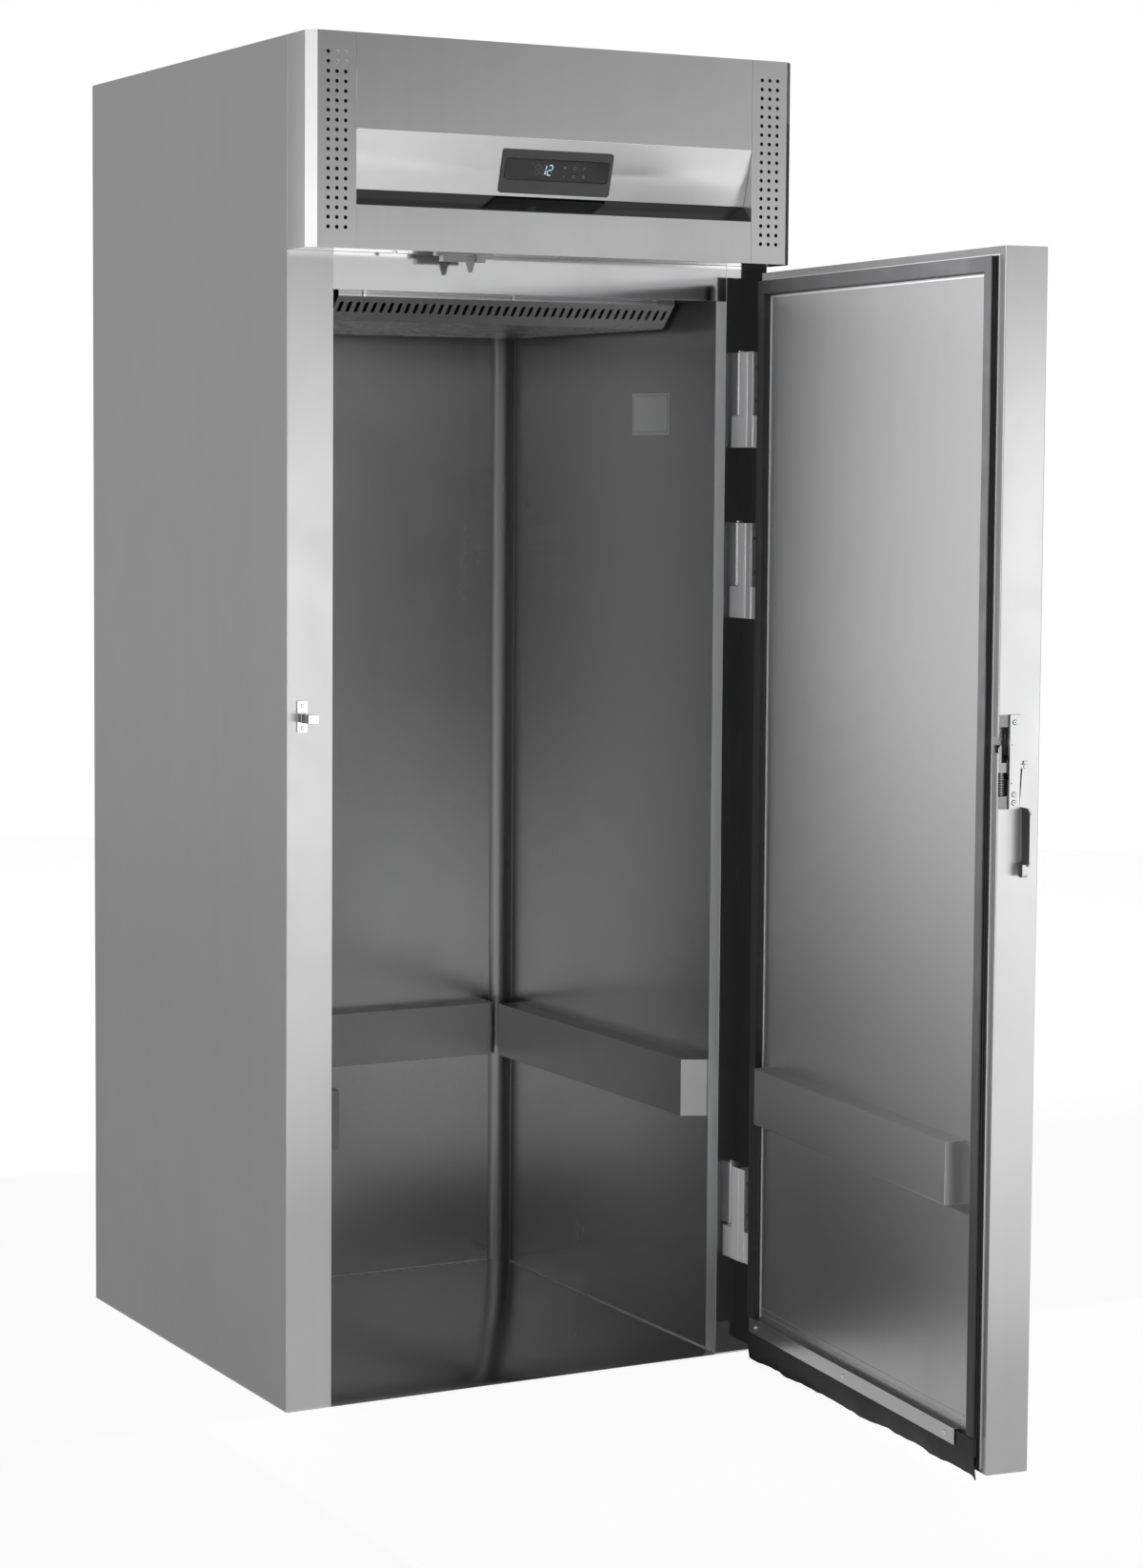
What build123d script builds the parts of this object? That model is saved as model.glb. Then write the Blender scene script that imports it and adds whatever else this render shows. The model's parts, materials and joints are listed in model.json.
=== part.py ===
"""Roll-in refrigerator with an open hinged door, built as separate sheet, foam, rubber and machine pieces.

Frame: origin on the floor at the middle of the cabinet's footprint, X to the right, Y to the back, Z up.
The rest pose has the door open by DOOR_REST_ANGLE; door pieces are drawn closed, then swung about the pins.
"""
from math import cos, pi, sin
import os

from build123d import *

os.makedirs("parts", exist_ok=True)

# Driving sizes of the cabinet
HEIGHT = 2200
WIDTH = 890
BODY_DEPTH = 850
SHEET = 1.2
WALL = 80
BACK_WALL = 60
OPENING_TOP = 1805
HEADER_BOTTOM = 1865
ROOF_TOP = 1925
FLOOR_PLATE = 3
FIT = 0.5

left, right = -WIDTH / 2, WIDTH / 2
front, back = -BODY_DEPTH / 2, BODY_DEPTH / 2
room_left, room_right = left + WALL, right - WALL
room_back = back - BACK_WALL
jamb_return = 33
lintel_depth = 78
liner_top = HEADER_BOTTOM

# Header above the door
CHEEK_DEPTH = 66
BEVEL_IN, BEVEL_OUT = 15, 14
CHEEK_FRONT_WIDTH = 67
header_front = front - CHEEK_DEPTH - BEVEL_OUT
seam_x = WIDTH / 2 - BEVEL_IN - CHEEK_FRONT_WIDTH
BAND_TOP, BAND_FOOT, STRIP_FOOT = 2051, 1958.5, 1933
BAND_IN = 26.5

# Refrigerant pipes that pass through the roof
PIPE_RADIUS = 4
ROOF_PIPES = ((240, 215), (262, 85))

# Mains inlet on the back
INLET_X, INLET_Z = right - 90, ROOF_TOP + 60
INLET_WIDTH, INLET_HEIGHT = 28, 21

# Door
DOOR_REST_ANGLE = 83.5
DOOR_THICKNESS = 70
DOOR_GAP = 14
DOOR_EDGE_INSET = 34
DOOR_WIDTH = 814
DOOR_BOTTOM, DOOR_TOP = 34, 1850
edge_x = left + DOOR_EDGE_INSET
hinge_side_x = edge_x + DOOR_WIDTH
inner_y = front - DOOR_GAP
outer_y = inner_y - DOOR_THICKNESS
HINGE_OUT, HINGE_FORWARD = 26, 50
hinge_x = hinge_side_x + HINGE_OUT
hinge_y = front - HINGE_FORWARD
hinge_line = Axis((hinge_x, hinge_y, 0), (0, 0, 1))


def save(piece, label, on_door=False):
    """Writes one piece under its label, swung open about the hinge line if it is on the door."""
    placed = piece.rotate(hinge_line, DOOR_REST_ANGLE) if on_door else piece
    placed.label = label
    export_step(placed, f"parts/{label}.step")


def block(x_span, y_span, z_span, mode=Mode.ADD):
    """Adds or cuts a straight block between two corners."""
    spans = (x_span, y_span, z_span)
    middle = tuple((low + high) / 2 for low, high in spans)
    with Locations(middle):
        Box(*(high - low for low, high in spans), mode=mode)


def folded(points, plane, length, side=Side.LEFT, thickness=SHEET):
    """Adds sheet metal folded along an open outline and drawn out square to its plane."""
    with BuildSketch(plane) as outline:
        with BuildLine():
            Polyline(*points)
            offset(amount=thickness, side=side, kind=Kind.INTERSECTION)
        make_face()
    extrude(outline.sketch, amount=length)


def rod(start, end, radius, mode=Mode.ADD):
    """Adds or cuts a round bar between two points."""
    direction = Vector(*end) - Vector(*start)
    with BuildSketch(Plane(origin=start, z_dir=direction)) as section:
        Circle(radius)
    extrude(section.sketch, amount=direction.length, mode=mode)


def screw(place, direction, head=4.0, height=2.4, shank=1.9, grip=5.0):
    """Adds a pan-head screw with a cross slot; direction points out of the head."""
    seat = Plane(origin=place, z_dir=direction)
    with BuildSketch(seat.offset(-grip)) as shank_end:
        Circle(shank)
    extrude(shank_end.sketch, amount=grip)
    with BuildSketch(seat) as head_foot:
        Circle(head)
    extrude(head_foot.sketch, amount=height, taper=18)
    with BuildSketch(seat.offset(height)) as cross:
        Rectangle(head, 0.8)
        Rectangle(0.8, head)
    extrude(cross.sketch, amount=-height * 0.4, mode=Mode.SUBTRACT)


# Outer skins: a side sheet with a flange turned in under the wall, at both sides
for label, outside, inward in (("left_outer_skin", left, 1), ("right_outer_skin", right, -1)):
    with BuildPart() as outer_skin:
        turned_in = outside + inward * (WALL - SHEET)
        path = [(turned_in, 0), (outside, 0), (outside, HEIGHT)]
        folded(path, Plane.XZ.offset(-back), BODY_DEPTH, Side.RIGHT if inward > 0 else Side.LEFT)
    outer_skin.part.label = label
    save(outer_skin.part, label)

# Back skin with louvre slots behind the machine compartment
VENT_ROWS, VENT_COLUMNS = 7, 4
with BuildPart() as back_outer_skin:
    block((left + SHEET, right - SHEET), (back - SHEET, back), (SHEET, HEIGHT))
    with BuildSketch(Plane.XZ.offset(-back - 1)):
        with Locations((0, (ROOF_TOP + HEIGHT) / 2)):
            with GridLocations(150, 26, VENT_COLUMNS, VENT_ROWS):
                SlotOverall(110, 9)
    extrude(amount=SHEET + 2, mode=Mode.SUBTRACT)
    inlet_hole = (INLET_X - INLET_WIDTH / 2, INLET_X + INLET_WIDTH / 2)
    inlet_rise = (INLET_Z - INLET_HEIGHT / 2, INLET_Z + INLET_HEIGHT / 2)
    block(inlet_hole, (back - 3, back + 1), inlet_rise, mode=Mode.SUBTRACT)
back_outer_skin.part.label = "back_outer_skin"
save(back_outer_skin.part, "back_outer_skin")

with BuildPart() as roof_panel:
    block((left + SHEET, right - SHEET), (front + SHEET, back - SHEET), (ROOF_TOP - SHEET, ROOF_TOP))
    for pipe_x, pipe_y in ROOF_PIPES:
        bore_ends = [(pipe_x, pipe_y, level) for level in (liner_top, ROOF_TOP + 1)]
        rod(*bore_ends, PIPE_RADIUS + FIT, mode=Mode.SUBTRACT)
roof_panel.part.label = "roof_panel"
save(roof_panel.part, "roof_panel")

# Foam cores, each filling its wall between the outer skin and the liner
for label, low, high in (
    ("left_wall_foam", left + SHEET, room_left - SHEET),
    ("right_wall_foam", room_right + SHEET, right - SHEET),
):
    with BuildPart() as wall_foam:
        block((low, high), (front + SHEET, back - SHEET), (SHEET, liner_top + SHEET))
    wall_foam.part.label = label
    save(wall_foam.part, label)

foam_rise = (SHEET, liner_top + SHEET)
with BuildPart() as back_wall_foam:
    block((room_left - SHEET, room_right + SHEET), (room_back + SHEET, back - SHEET), foam_rise)
back_wall_foam.part.label = "back_wall_foam"
save(back_wall_foam.part, "back_wall_foam")

with BuildPart() as roof_foam:
    block((left + SHEET, right - SHEET), (front + SHEET, back - SHEET), (liner_top + SHEET, ROOF_TOP - SHEET))
    lintel_back = front + lintel_depth
    lintel_core = (front + SHEET, lintel_back - SHEET)
    block((room_left, room_right), lintel_core, (OPENING_TOP + SHEET, liner_top + SHEET))
    for pipe_x, pipe_y in ROOF_PIPES:
        bore_ends = [(pipe_x, pipe_y, level) for level in (liner_top - SHEET, ROOF_TOP)]
        rod(*bore_ends, PIPE_RADIUS + FIT, mode=Mode.SUBTRACT)
roof_foam.part.label = "roof_foam"
save(roof_foam.part, "roof_foam")

# Liner walls
for label, low, high in (
    ("left_inner_wall", room_left - SHEET, room_left),
    ("right_inner_wall", room_right, room_right + SHEET),
):
    with BuildPart() as inner_wall:
        block((low, high), (front + jamb_return, room_back + SHEET), (SHEET, liner_top))
    inner_wall.part.label = label
    save(inner_wall.part, label)

with BuildPart() as back_inner_wall:
    block((room_left, room_right), (room_back, room_back + SHEET), (SHEET, liner_top))
back_inner_wall.part.label = "back_inner_wall"
save(back_inner_wall.part, "back_inner_wall")

with BuildPart() as ceiling_liner:
    block((room_left, room_right), (lintel_back, room_back), (liner_top - SHEET, liner_top))
    for pipe_x, pipe_y in ROOF_PIPES:
        bore_ends = [(pipe_x, pipe_y, level) for level in (liner_top - 9, ROOF_TOP)]
        rod(*bore_ends, PIPE_RADIUS + FIT, mode=Mode.SUBTRACT)
ceiling_liner.part.label = "ceiling_liner"
save(ceiling_liner.part, "ceiling_liner")

# Coves that round off the two rear corners of the room
COVE_RADIUS = 32
with BuildPart() as corner_coves:
    for corner_x, inward in ((room_left, 1), (room_right, -1)):
        with BuildSketch(Plane.XY.offset(FLOOR_PLATE)):
            with BuildLine():
                centre = (corner_x + inward * COVE_RADIUS, room_back - COVE_RADIUS)
                start = 90 if inward > 0 else 0
                outer_arc = CenterArc(centre, COVE_RADIUS, start, 90)
                inner_arc = CenterArc(centre, COVE_RADIUS - SHEET, start, 90)
                Line(outer_arc @ 0, inner_arc @ 0)
                Line(outer_arc @ 1, inner_arc @ 1)
            make_face()
        extrude(amount=liner_top - SHEET - FLOOR_PLATE)
corner_coves.part.label = "corner_coves"
save(corner_coves.part, "corner_coves")

# Floor plate with a bevelled front edge for the trolley's wheels
with BuildPart() as floor_plate:
    with BuildSketch(Plane.YZ.offset(room_left)):
        with BuildLine():
            Polyline(
                (front, 0), (room_back, 0), (room_back, FLOOR_PLATE),
                (front + 12, FLOOR_PLATE), (front, 0.6), close=True,
            )
        make_face()
    extrude(amount=room_right - room_left)
floor_plate.part.label = "floor_plate"
save(floor_plate.part, "floor_plate")

# Front jambs: a face sheet folded back into the opening
for label, outside, inward in (("left_jamb", left, 1), ("right_jamb", right, -1)):
    with BuildPart() as jamb:
        opening_x = outside + inward * WALL
        path = [(outside + inward * SHEET, front), (opening_x, front), (opening_x, front + jamb_return)]
        folded(path, Plane.XY.offset(SHEET), HEADER_BOTTOM - SHEET, Side.LEFT if inward > 0 else Side.RIGHT)
    jamb.part.label = label
    save(jamb.part, label)

# Polished lintel: front face, underside and a turned-up back edge
with BuildPart() as lintel:
    path = [(front, liner_top), (front, OPENING_TOP), (lintel_back, OPENING_TOP), (lintel_back, liner_top)]
    folded(path, Plane.YZ.offset(room_left), room_right - room_left)
lintel.part.label = "lintel"
save(lintel.part, "lintel")

# Header cheeks: side sheet, bevel, perforated front and a return beside the service panel
HOLE_PITCH, HOLE_RADIUS = 15, 3.2
HOLE_ROWS, HOLE_COLUMNS = 19, 3
CHEEK_RETURN = 34
PANEL_HINGE_Y, PANEL_HINGE_Z = header_front + 20, HEIGHT - 10
PIVOT_RADIUS = 3.0
PIN_FIT = 0.06
hole_field_z = 2032.5
BACKING_X, BACKING_Z = 404, (2146, 2181)
SCREEN_THICKNESS = 3
screen_front = header_front + 2 * SHEET + 0.3
for label, outside, inward in (("header_left_cheek", left, 1), ("header_right_cheek", right, -1)):
    with BuildPart() as cheek:
        path = [
            (outside, front),
            (outside, front - CHEEK_DEPTH),
            (outside + inward * BEVEL_IN, header_front),
            (-inward * seam_x, header_front),
            (-inward * seam_x, header_front + CHEEK_RETURN),
        ]
        plane = Plane.XY.offset(HEADER_BOTTOM)
        folded(path, plane, HEIGHT - HEADER_BOTTOM, Side.LEFT if inward > 0 else Side.RIGHT)
        with BuildSketch(Plane.XZ.offset(-header_front + 1)):
            with Locations((outside + inward * (BEVEL_IN + CHEEK_FRONT_WIDTH / 2), hole_field_z)):
                with GridLocations(HOLE_PITCH, HOLE_PITCH, HOLE_COLUMNS, HOLE_ROWS):
                    Circle(HOLE_RADIUS)
        extrude(amount=-SHEET - 2, mode=Mode.SUBTRACT)
        hole_x = -inward * seam_x
        soffit_seat = (header_front + SHEET, header_front + CHEEK_RETURN + 1)
        seat_rise = (HEADER_BOTTOM - 1, HEADER_BOTTOM + SHEET)
        block((hole_x - 3, hole_x + 3), soffit_seat, seat_rise, mode=Mode.SUBTRACT)
        hole_line = [(hole_x + side * 3, PANEL_HINGE_Y, PANEL_HINGE_Z) for side in (-1, 1)]
        rod(*hole_line, PIVOT_RADIUS, mode=Mode.SUBTRACT)
        if inward > 0:
            backing_y = (header_front + SHEET, header_front + 2 * SHEET)
            block((-BACKING_X, -seam_x - SHEET / 2), backing_y, BACKING_Z)
    cheek.part.label = label
    save(cheek.part, label)

# Black dust screens close behind the perforated cheeks, clear of the backing plate at the left one
with BuildPart() as cheek_dust_screens:
    screen_y = (screen_front, screen_front + SCREEN_THICKNESS)
    for side in (-1, 1):
        screen_edges = sorted((side * (seam_x + 2), side * (seam_x + 64)))
        block(tuple(screen_edges), screen_y, (hole_field_z - 148, hole_field_z + 148))
cheek_dust_screens.part.label = "cheek_dust_screens"
save(cheek_dust_screens.part, "cheek_dust_screens")

# Soffit under the header
with BuildPart() as header_soffit:
    soffit_depth = (header_front + SHEET + FIT, front)
    block((left + SHEET, right - SHEET), soffit_depth, (HEADER_BOTTOM, HEADER_BOTTOM + SHEET))
    taper = BEVEL_IN + BEVEL_OUT
    for outside, inward in ((left, 1), (right, -1)):
        with BuildSketch(Plane.XY.offset(HEADER_BOTTOM - 1)):
            with BuildLine():
                Polyline(
                    (outside, header_front - 1),
                    (outside + inward * (BEVEL_IN + SHEET + 4), header_front - 1),
                    (outside + inward * (SHEET * 1.6), front - CHEEK_DEPTH + SHEET),
                    (outside, front - CHEEK_DEPTH + SHEET),
                    close=True,
                )
            make_face()
        extrude(amount=SHEET + 2, mode=Mode.SUBTRACT)
header_soffit.part.label = "header_soffit"
save(header_soffit.part, "header_soffit")

# Service panel of the header, hung on two stub pins at its top
PANEL_GAP = 0.5
EAR = 2
panel_half = seam_x - PANEL_GAP
with BuildPart() as header_front_panel:
    path = [
        (header_front + 30, HEIGHT),
        (header_front, HEIGHT),
        (header_front, BAND_TOP),
        (header_front + BAND_IN, BAND_FOOT),
        (header_front, STRIP_FOOT),
        (header_front, HEADER_BOTTOM),
    ]
    folded(path, Plane.YZ.offset(-panel_half), 2 * panel_half)
    for ear_x in (-panel_half, panel_half - EAR):
        with BuildSketch(Plane.YZ.offset(ear_x)):
            with BuildLine():
                Polyline(
                    (header_front + SHEET, HEIGHT - SHEET),
                    (header_front + 30, HEIGHT - SHEET),
                    (header_front + 30, HEIGHT - 20),
                    (header_front + SHEET, HEIGHT - 60),
                    close=True,
                )
            make_face()
        extrude(amount=EAR)
    pivot_ends = [(side * WIDTH / 2, PANEL_HINGE_Y, PANEL_HINGE_Z) for side in (-1, 1)]
    rod(*pivot_ends, PIVOT_RADIUS + PIN_FIT, mode=Mode.SUBTRACT)
    band_run = Vector(0, BAND_IN, BAND_FOOT - BAND_TOP).normalized()
    band_out = Vector(0, band_run.Z, -band_run.Y)
    DISPLAY_Z, FASCIA_Z = 2003, 1999
    fascia_y = header_front + BAND_IN * (BAND_TOP - FASCIA_Z) / (BAND_TOP - BAND_FOOT)
    band_plane = Plane(origin=(0.5, fascia_y, FASCIA_Z), x_dir=(1, 0, 0), z_dir=band_out)
    with BuildSketch(band_plane.offset(1)):
        with Locations((0, DISPLAY_Z - FASCIA_Z)):
            Rectangle(184, 31)
    extrude(amount=-5, mode=Mode.SUBTRACT)
header_front_panel.part.label = "header_front_panel"
save(header_front_panel.part, "header_front_panel")

with BuildPart() as header_pivot_pins:
    for side in (-1, 1):
        pin_start = (side * (seam_x + SHEET), PANEL_HINGE_Y, PANEL_HINGE_Z)
        head_end = (side * (seam_x + SHEET + 2), PANEL_HINGE_Y, PANEL_HINGE_Z)
        pin_end = (side * (seam_x - 4), PANEL_HINGE_Y, PANEL_HINGE_Z)
        rod(pin_start, pin_end, PIVOT_RADIUS)
        rod(pin_start, head_end, PIVOT_RADIUS + 2)
header_pivot_pins.part.label = "header_pivot_pins"
save(header_pivot_pins.part, "header_pivot_pins")

STRIP_THICKNESS = 1.5
strip_run = Vector(0, -BAND_IN, STRIP_FOOT - BAND_FOOT)
strip_out = Vector(0, strip_run.Z, -strip_run.Y).normalized()
with BuildPart() as header_gloss_strip:
    strip_middle = (0, header_front + BAND_IN / 2, (BAND_FOOT + STRIP_FOOT) / 2)
    with BuildSketch(Plane(origin=strip_middle, x_dir=(1, 0, 0), z_dir=strip_out)):
        with Locations((0, 0.6)):
            Rectangle(2 * panel_half, strip_run.length - 2.4)
    extrude(amount=STRIP_THICKNESS)
header_gloss_strip.part.label = "header_gloss_strip"
save(header_gloss_strip.part, "header_gloss_strip")

FASCIA_THICKNESS = 3
with BuildPart() as controller_fascia:
    with BuildSketch(band_plane):
        RectangleRounded(203, 71, 5)
        with Locations((0, DISPLAY_Z - FASCIA_Z)):
            RectangleRounded(190.6, 35.6, 6, mode=Mode.SUBTRACT)
    extrude(amount=FASCIA_THICKNESS)
controller_fascia.part.label = "controller_fascia"
save(controller_fascia.part, "controller_fascia")

with BuildPart() as controller_display:
    with BuildSketch(band_plane):
        with Locations((0, DISPLAY_Z - FASCIA_Z)):
            RectangleRounded(190, 35, 5.7)
    extrude(amount=2.2)
    with BuildSketch(band_plane):
        with Locations((0, DISPLAY_Z - FASCIA_Z)):
            Rectangle(180, 28)
    extrude(amount=-22)
controller_display.part.label = "controller_display"
save(controller_display.part, "controller_display")

# Bumper rails inside: hat-section sheet, with a slanted front cap on the side rails
RAIL_PROUD = 40
RAIL_SHEET = 1.5
SIDE_RAIL_END = 55.5
BACK_RAIL_HALF = 325.4
rail_z = (410, 508)
rail_inner_z = (rail_z[0] + RAIL_SHEET, rail_z[1] - RAIL_SHEET)


def rail_plan(side, shrink):
    """Plan outline of a side rail; side is -1 for the left wall, shrink is its sheet's thickness or 0."""
    wall_x = side * room_right
    face_x = side * (room_right - RAIL_PROUD + shrink)
    nose = front + 38 + 1.12 * shrink
    slant = 19.7 * (RAIL_PROUD - shrink) / RAIL_PROUD
    end = room_back - SIDE_RAIL_END - shrink
    return [(wall_x, nose), (face_x, nose + slant), (face_x, end), (wall_x, end)]


for label, side in (("left_wall_bumper", -1), ("right_wall_bumper", 1)):
    with BuildPart() as wall_bumper:
        with BuildSketch(Plane.XY.offset(rail_z[0])):
            with BuildLine():
                Polyline(*rail_plan(side, 0), close=True)
            make_face()
        extrude(amount=rail_z[1] - rail_z[0])
        with BuildSketch(Plane.XY.offset(rail_inner_z[0])):
            with BuildLine():
                Polyline(*rail_plan(side, RAIL_SHEET), close=True)
            make_face()
        extrude(amount=rail_inner_z[1] - rail_inner_z[0], mode=Mode.SUBTRACT)
    wall_bumper.part.label = label
    save(wall_bumper.part, label)

with BuildPart() as back_wall_bumper:
    block((-BACK_RAIL_HALF, BACK_RAIL_HALF), (room_back - RAIL_PROUD, room_back), rail_z)
    inner_half = BACK_RAIL_HALF - RAIL_SHEET
    rail_core = (room_back - RAIL_PROUD + RAIL_SHEET, room_back + 1)
    block((-inner_half, inner_half), rail_core, rail_inner_z, mode=Mode.SUBTRACT)
back_wall_bumper.part.label = "back_wall_bumper"
save(back_wall_bumper.part, "back_wall_bumper")

# Air duct under the ceiling: a slanted front with slots, a plain floor and two sides, open at the back
DUCT_FRONT, DUCT_BACK = front + 87.5, 245
DUCT_FOLD, DUCT_BOTTOM = 1800, 1761.5
DUCT_HALF = 315
SLOT_COUNT, SLOT_PITCH = 41, 15.2
SLOT_LENGTH, SLOT_WIDTH, SLOT_Z = 23.3, 6.8, 1783
duct_top = liner_top - SHEET
duct_outline = [
    (DUCT_FRONT, duct_top),
    (DUCT_FRONT, DUCT_FOLD),
    (DUCT_FRONT + DUCT_FOLD - DUCT_BOTTOM, DUCT_BOTTOM),
    (DUCT_BACK, DUCT_BOTTOM),
]
with BuildPart() as air_duct_cover:
    folded(duct_outline, Plane.YZ.offset(-DUCT_HALF), 2 * DUCT_HALF)
    for end_x in (-DUCT_HALF, DUCT_HALF - SHEET):
        with BuildSketch(Plane.YZ.offset(end_x)):
            with BuildLine():
                Polyline(*duct_outline, (DUCT_BACK, duct_top), close=True)
            make_face()
        extrude(amount=SHEET)
    slot_middle = (0, DUCT_FRONT + DUCT_FOLD - SLOT_Z, SLOT_Z)
    with BuildSketch(Plane(origin=slot_middle, x_dir=(1, 0, 0), z_dir=(0, -1, -1)).offset(1)):
        with GridLocations(SLOT_PITCH, 1, SLOT_COUNT, 1):
            SlotOverall(SLOT_LENGTH, SLOT_WIDTH, rotation=90)
    extrude(amount=-SHEET - 2, mode=Mode.SUBTRACT)
air_duct_cover.part.label = "air_duct_cover"
save(air_duct_cover.part, "air_duct_cover")


def coil(base, run_length, rows, pitch, fin_count, fin_size, toward):
    """Adds a finned coil: a serpentine tube along X that climbs by rows, and thin fins across it."""
    start = Vector(*base)
    climb = Vector(*toward)
    first_way = 1 if run_length > 0 else -1
    wires = []
    point = start
    for row in range(rows):
        way = first_way if row % 2 == 0 else -first_way
        along = Vector(way * abs(run_length), 0, 0)
        wires.append(Line(point, point + along))
        point = point + along
        if row < rows - 1:
            bulge = Vector(way * pitch / 2, 0, 0)
            wires.append(ThreePointArc(point, point + climb * (pitch / 2) + bulge, point + climb * pitch))
            point = point + climb * pitch
    path = Wire([edge for piece in wires for edge in piece.edges()])
    with BuildSketch(Plane(origin=start, z_dir=(1, 0, 0))) as bore:
        Circle(COIL_TUBE)
    sweep(bore.sketch, path=path)
    middle = start + Vector(run_length / 2, 0, 0) + climb * (pitch * (rows - 1) / 2)
    spacing = (abs(run_length) - 24) / (fin_count - 1)
    offsets = [(index - (fin_count - 1) / 2) * spacing for index in range(fin_count)]
    with Locations(*[(middle.X + shift, middle.Y, middle.Z) for shift in offsets]):
        Box(FIN_THICKNESS, *fin_size)


COIL_TUBE = 5
FIN_THICKNESS = 1.0
EVAPORATOR_PITCH, CONDENSER_PITCH = 26, 36
with BuildPart() as evaporator_coil:
    evaporator_start = (195, 85, 1815)
    coil(evaporator_start, -390, 6, EVAPORATOR_PITCH, 24, (156, 82), (0, 1, 0))
evaporator_coil.part.label = "evaporator_coil"
save(evaporator_coil.part, "evaporator_coil")

with BuildPart() as condenser_coil:
    condenser_start = (-60, -360, 1950)
    coil(condenser_start, 380, 6, CONDENSER_PITCH, 26, (46, 214), (0, 0, 1))
condenser_coil.part.label = "condenser_coil"
save(condenser_coil.part, "condenser_coil")


def fan_blades(axis_plane, count, root, tip, chord, thickness, pitch_angle):
    """Adds twisted flat blades around the normal of a plane."""
    for index in range(count):
        angle = 2 * pi * index / count
        outward = axis_plane.x_dir * cos(angle) + axis_plane.y_dir * sin(angle)
        root_place = axis_plane.origin + outward * root
        blade_plane = Plane(origin=root_place, x_dir=axis_plane.z_dir, z_dir=outward)
        with BuildSketch(blade_plane) as blade_root:
            Rectangle(thickness, chord, rotation=pitch_angle)
        extrude(blade_root.sketch, amount=tip - root)


def fan_frame(axis_plane, ring_outer, ring_inner, ring_depth, strut_level, can_radius, can_depth):
    """Adds a ring, three struts and the motor can with a bore for the rotor's shaft."""
    with BuildSketch(axis_plane) as ring:
        Circle(ring_outer)
        Circle(ring_inner, mode=Mode.SUBTRACT)
    extrude(ring.sketch, amount=ring_depth)
    with BuildSketch(axis_plane.offset(strut_level)) as struts:
        with PolarLocations((ring_inner + can_radius) / 2, 3, start_angle=90):
            Rectangle(ring_inner - can_radius + 8, 8)
    extrude(struts.sketch, amount=3)
    with BuildSketch(axis_plane.offset(strut_level)) as can:
        Circle(can_radius)
    extrude(can.sketch, amount=can_depth)
    with BuildSketch(axis_plane.offset(strut_level)) as bore:
        Circle(FAN_SHAFT + SHAFT_FIT)
    extrude(bore.sketch, amount=can_depth - 4, mode=Mode.SUBTRACT)


FAN_SHAFT, SHAFT_FIT = 4, 0.06


def fan_rotor(axis_plane, hub_level, hub_radius, hub_depth, tip_radius, blade_count, shaft_depth):
    """Adds a hub, its blades and the shaft that runs in the motor can."""
    with BuildSketch(axis_plane.offset(hub_level)) as hub:
        Circle(hub_radius)
    extrude(hub.sketch, amount=hub_depth)
    with BuildSketch(axis_plane.offset(hub_level + hub_depth)) as shaft:
        Circle(FAN_SHAFT)
    extrude(shaft.sketch, amount=shaft_depth)
    blade_plane = axis_plane.offset(hub_level + hub_depth / 2)
    fan_blades(blade_plane, blade_count, hub_radius - 3, tip_radius, 46, 1.4, 12)


# Tangential fan between the slots and the coil: a bladed wheel across the duct in a low frame with its motor
BLOWER_Y, BLOWER_Z, BLOWER_RADIUS = -240, 1813, 37
BLOWER_HALF, BLOWER_BLADES = 150, 24
WHEEL_DISC = 2
FRAME_HALF, FRAME_SHEET = 162, 3
MOTOR_RADIUS, MOTOR_LENGTH = 34, 40
blower_line = Plane(origin=(-BLOWER_HALF, BLOWER_Y, BLOWER_Z), x_dir=(0, 1, 0), z_dir=(1, 0, 0))
with BuildPart() as evaporator_fan_rotor:
    with BuildSketch(blower_line):
        with PolarLocations(BLOWER_RADIUS - 5, BLOWER_BLADES):
            Rectangle(9, 1, rotation=35)
    extrude(amount=2 * BLOWER_HALF)
    for level in (0, BLOWER_HALF - WHEEL_DISC / 2, 2 * BLOWER_HALF - WHEEL_DISC):
        with BuildSketch(blower_line.offset(level)):
            Circle(BLOWER_RADIUS)
        extrude(amount=WHEEL_DISC)
    shaft_ends = [(x, BLOWER_Y, BLOWER_Z) for x in (-FRAME_HALF, FRAME_HALF + MOTOR_LENGTH / 2)]
    rod(*shaft_ends, FAN_SHAFT)
evaporator_fan_rotor.part.label = "evaporator_fan_rotor"
save(evaporator_fan_rotor.part, "evaporator_fan_rotor")

with BuildPart() as evaporator_fan_frame:
    frame_y = (BLOWER_Y - 42, BLOWER_Y + 42)
    frame_foot = DUCT_BOTTOM + SHEET
    block((-FRAME_HALF, FRAME_HALF), frame_y, (frame_foot, frame_foot + 2))
    for low in (-FRAME_HALF, FRAME_HALF - FRAME_SHEET):
        block((low, low + FRAME_SHEET), frame_y, (frame_foot, frame_foot + 92))
    motor_ends = [(x, BLOWER_Y, BLOWER_Z) for x in (FRAME_HALF, FRAME_HALF + MOTOR_LENGTH)]
    rod(*motor_ends, MOTOR_RADIUS)
    shaft_bore = [(x, BLOWER_Y, BLOWER_Z) for x in (-FRAME_HALF - 1, FRAME_HALF + MOTOR_LENGTH - 4)]
    rod(*shaft_bore, FAN_SHAFT + SHAFT_FIT, mode=Mode.SUBTRACT)
evaporator_fan_frame.part.label = "evaporator_fan_frame"
save(evaporator_fan_frame.part, "evaporator_fan_frame")

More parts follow.
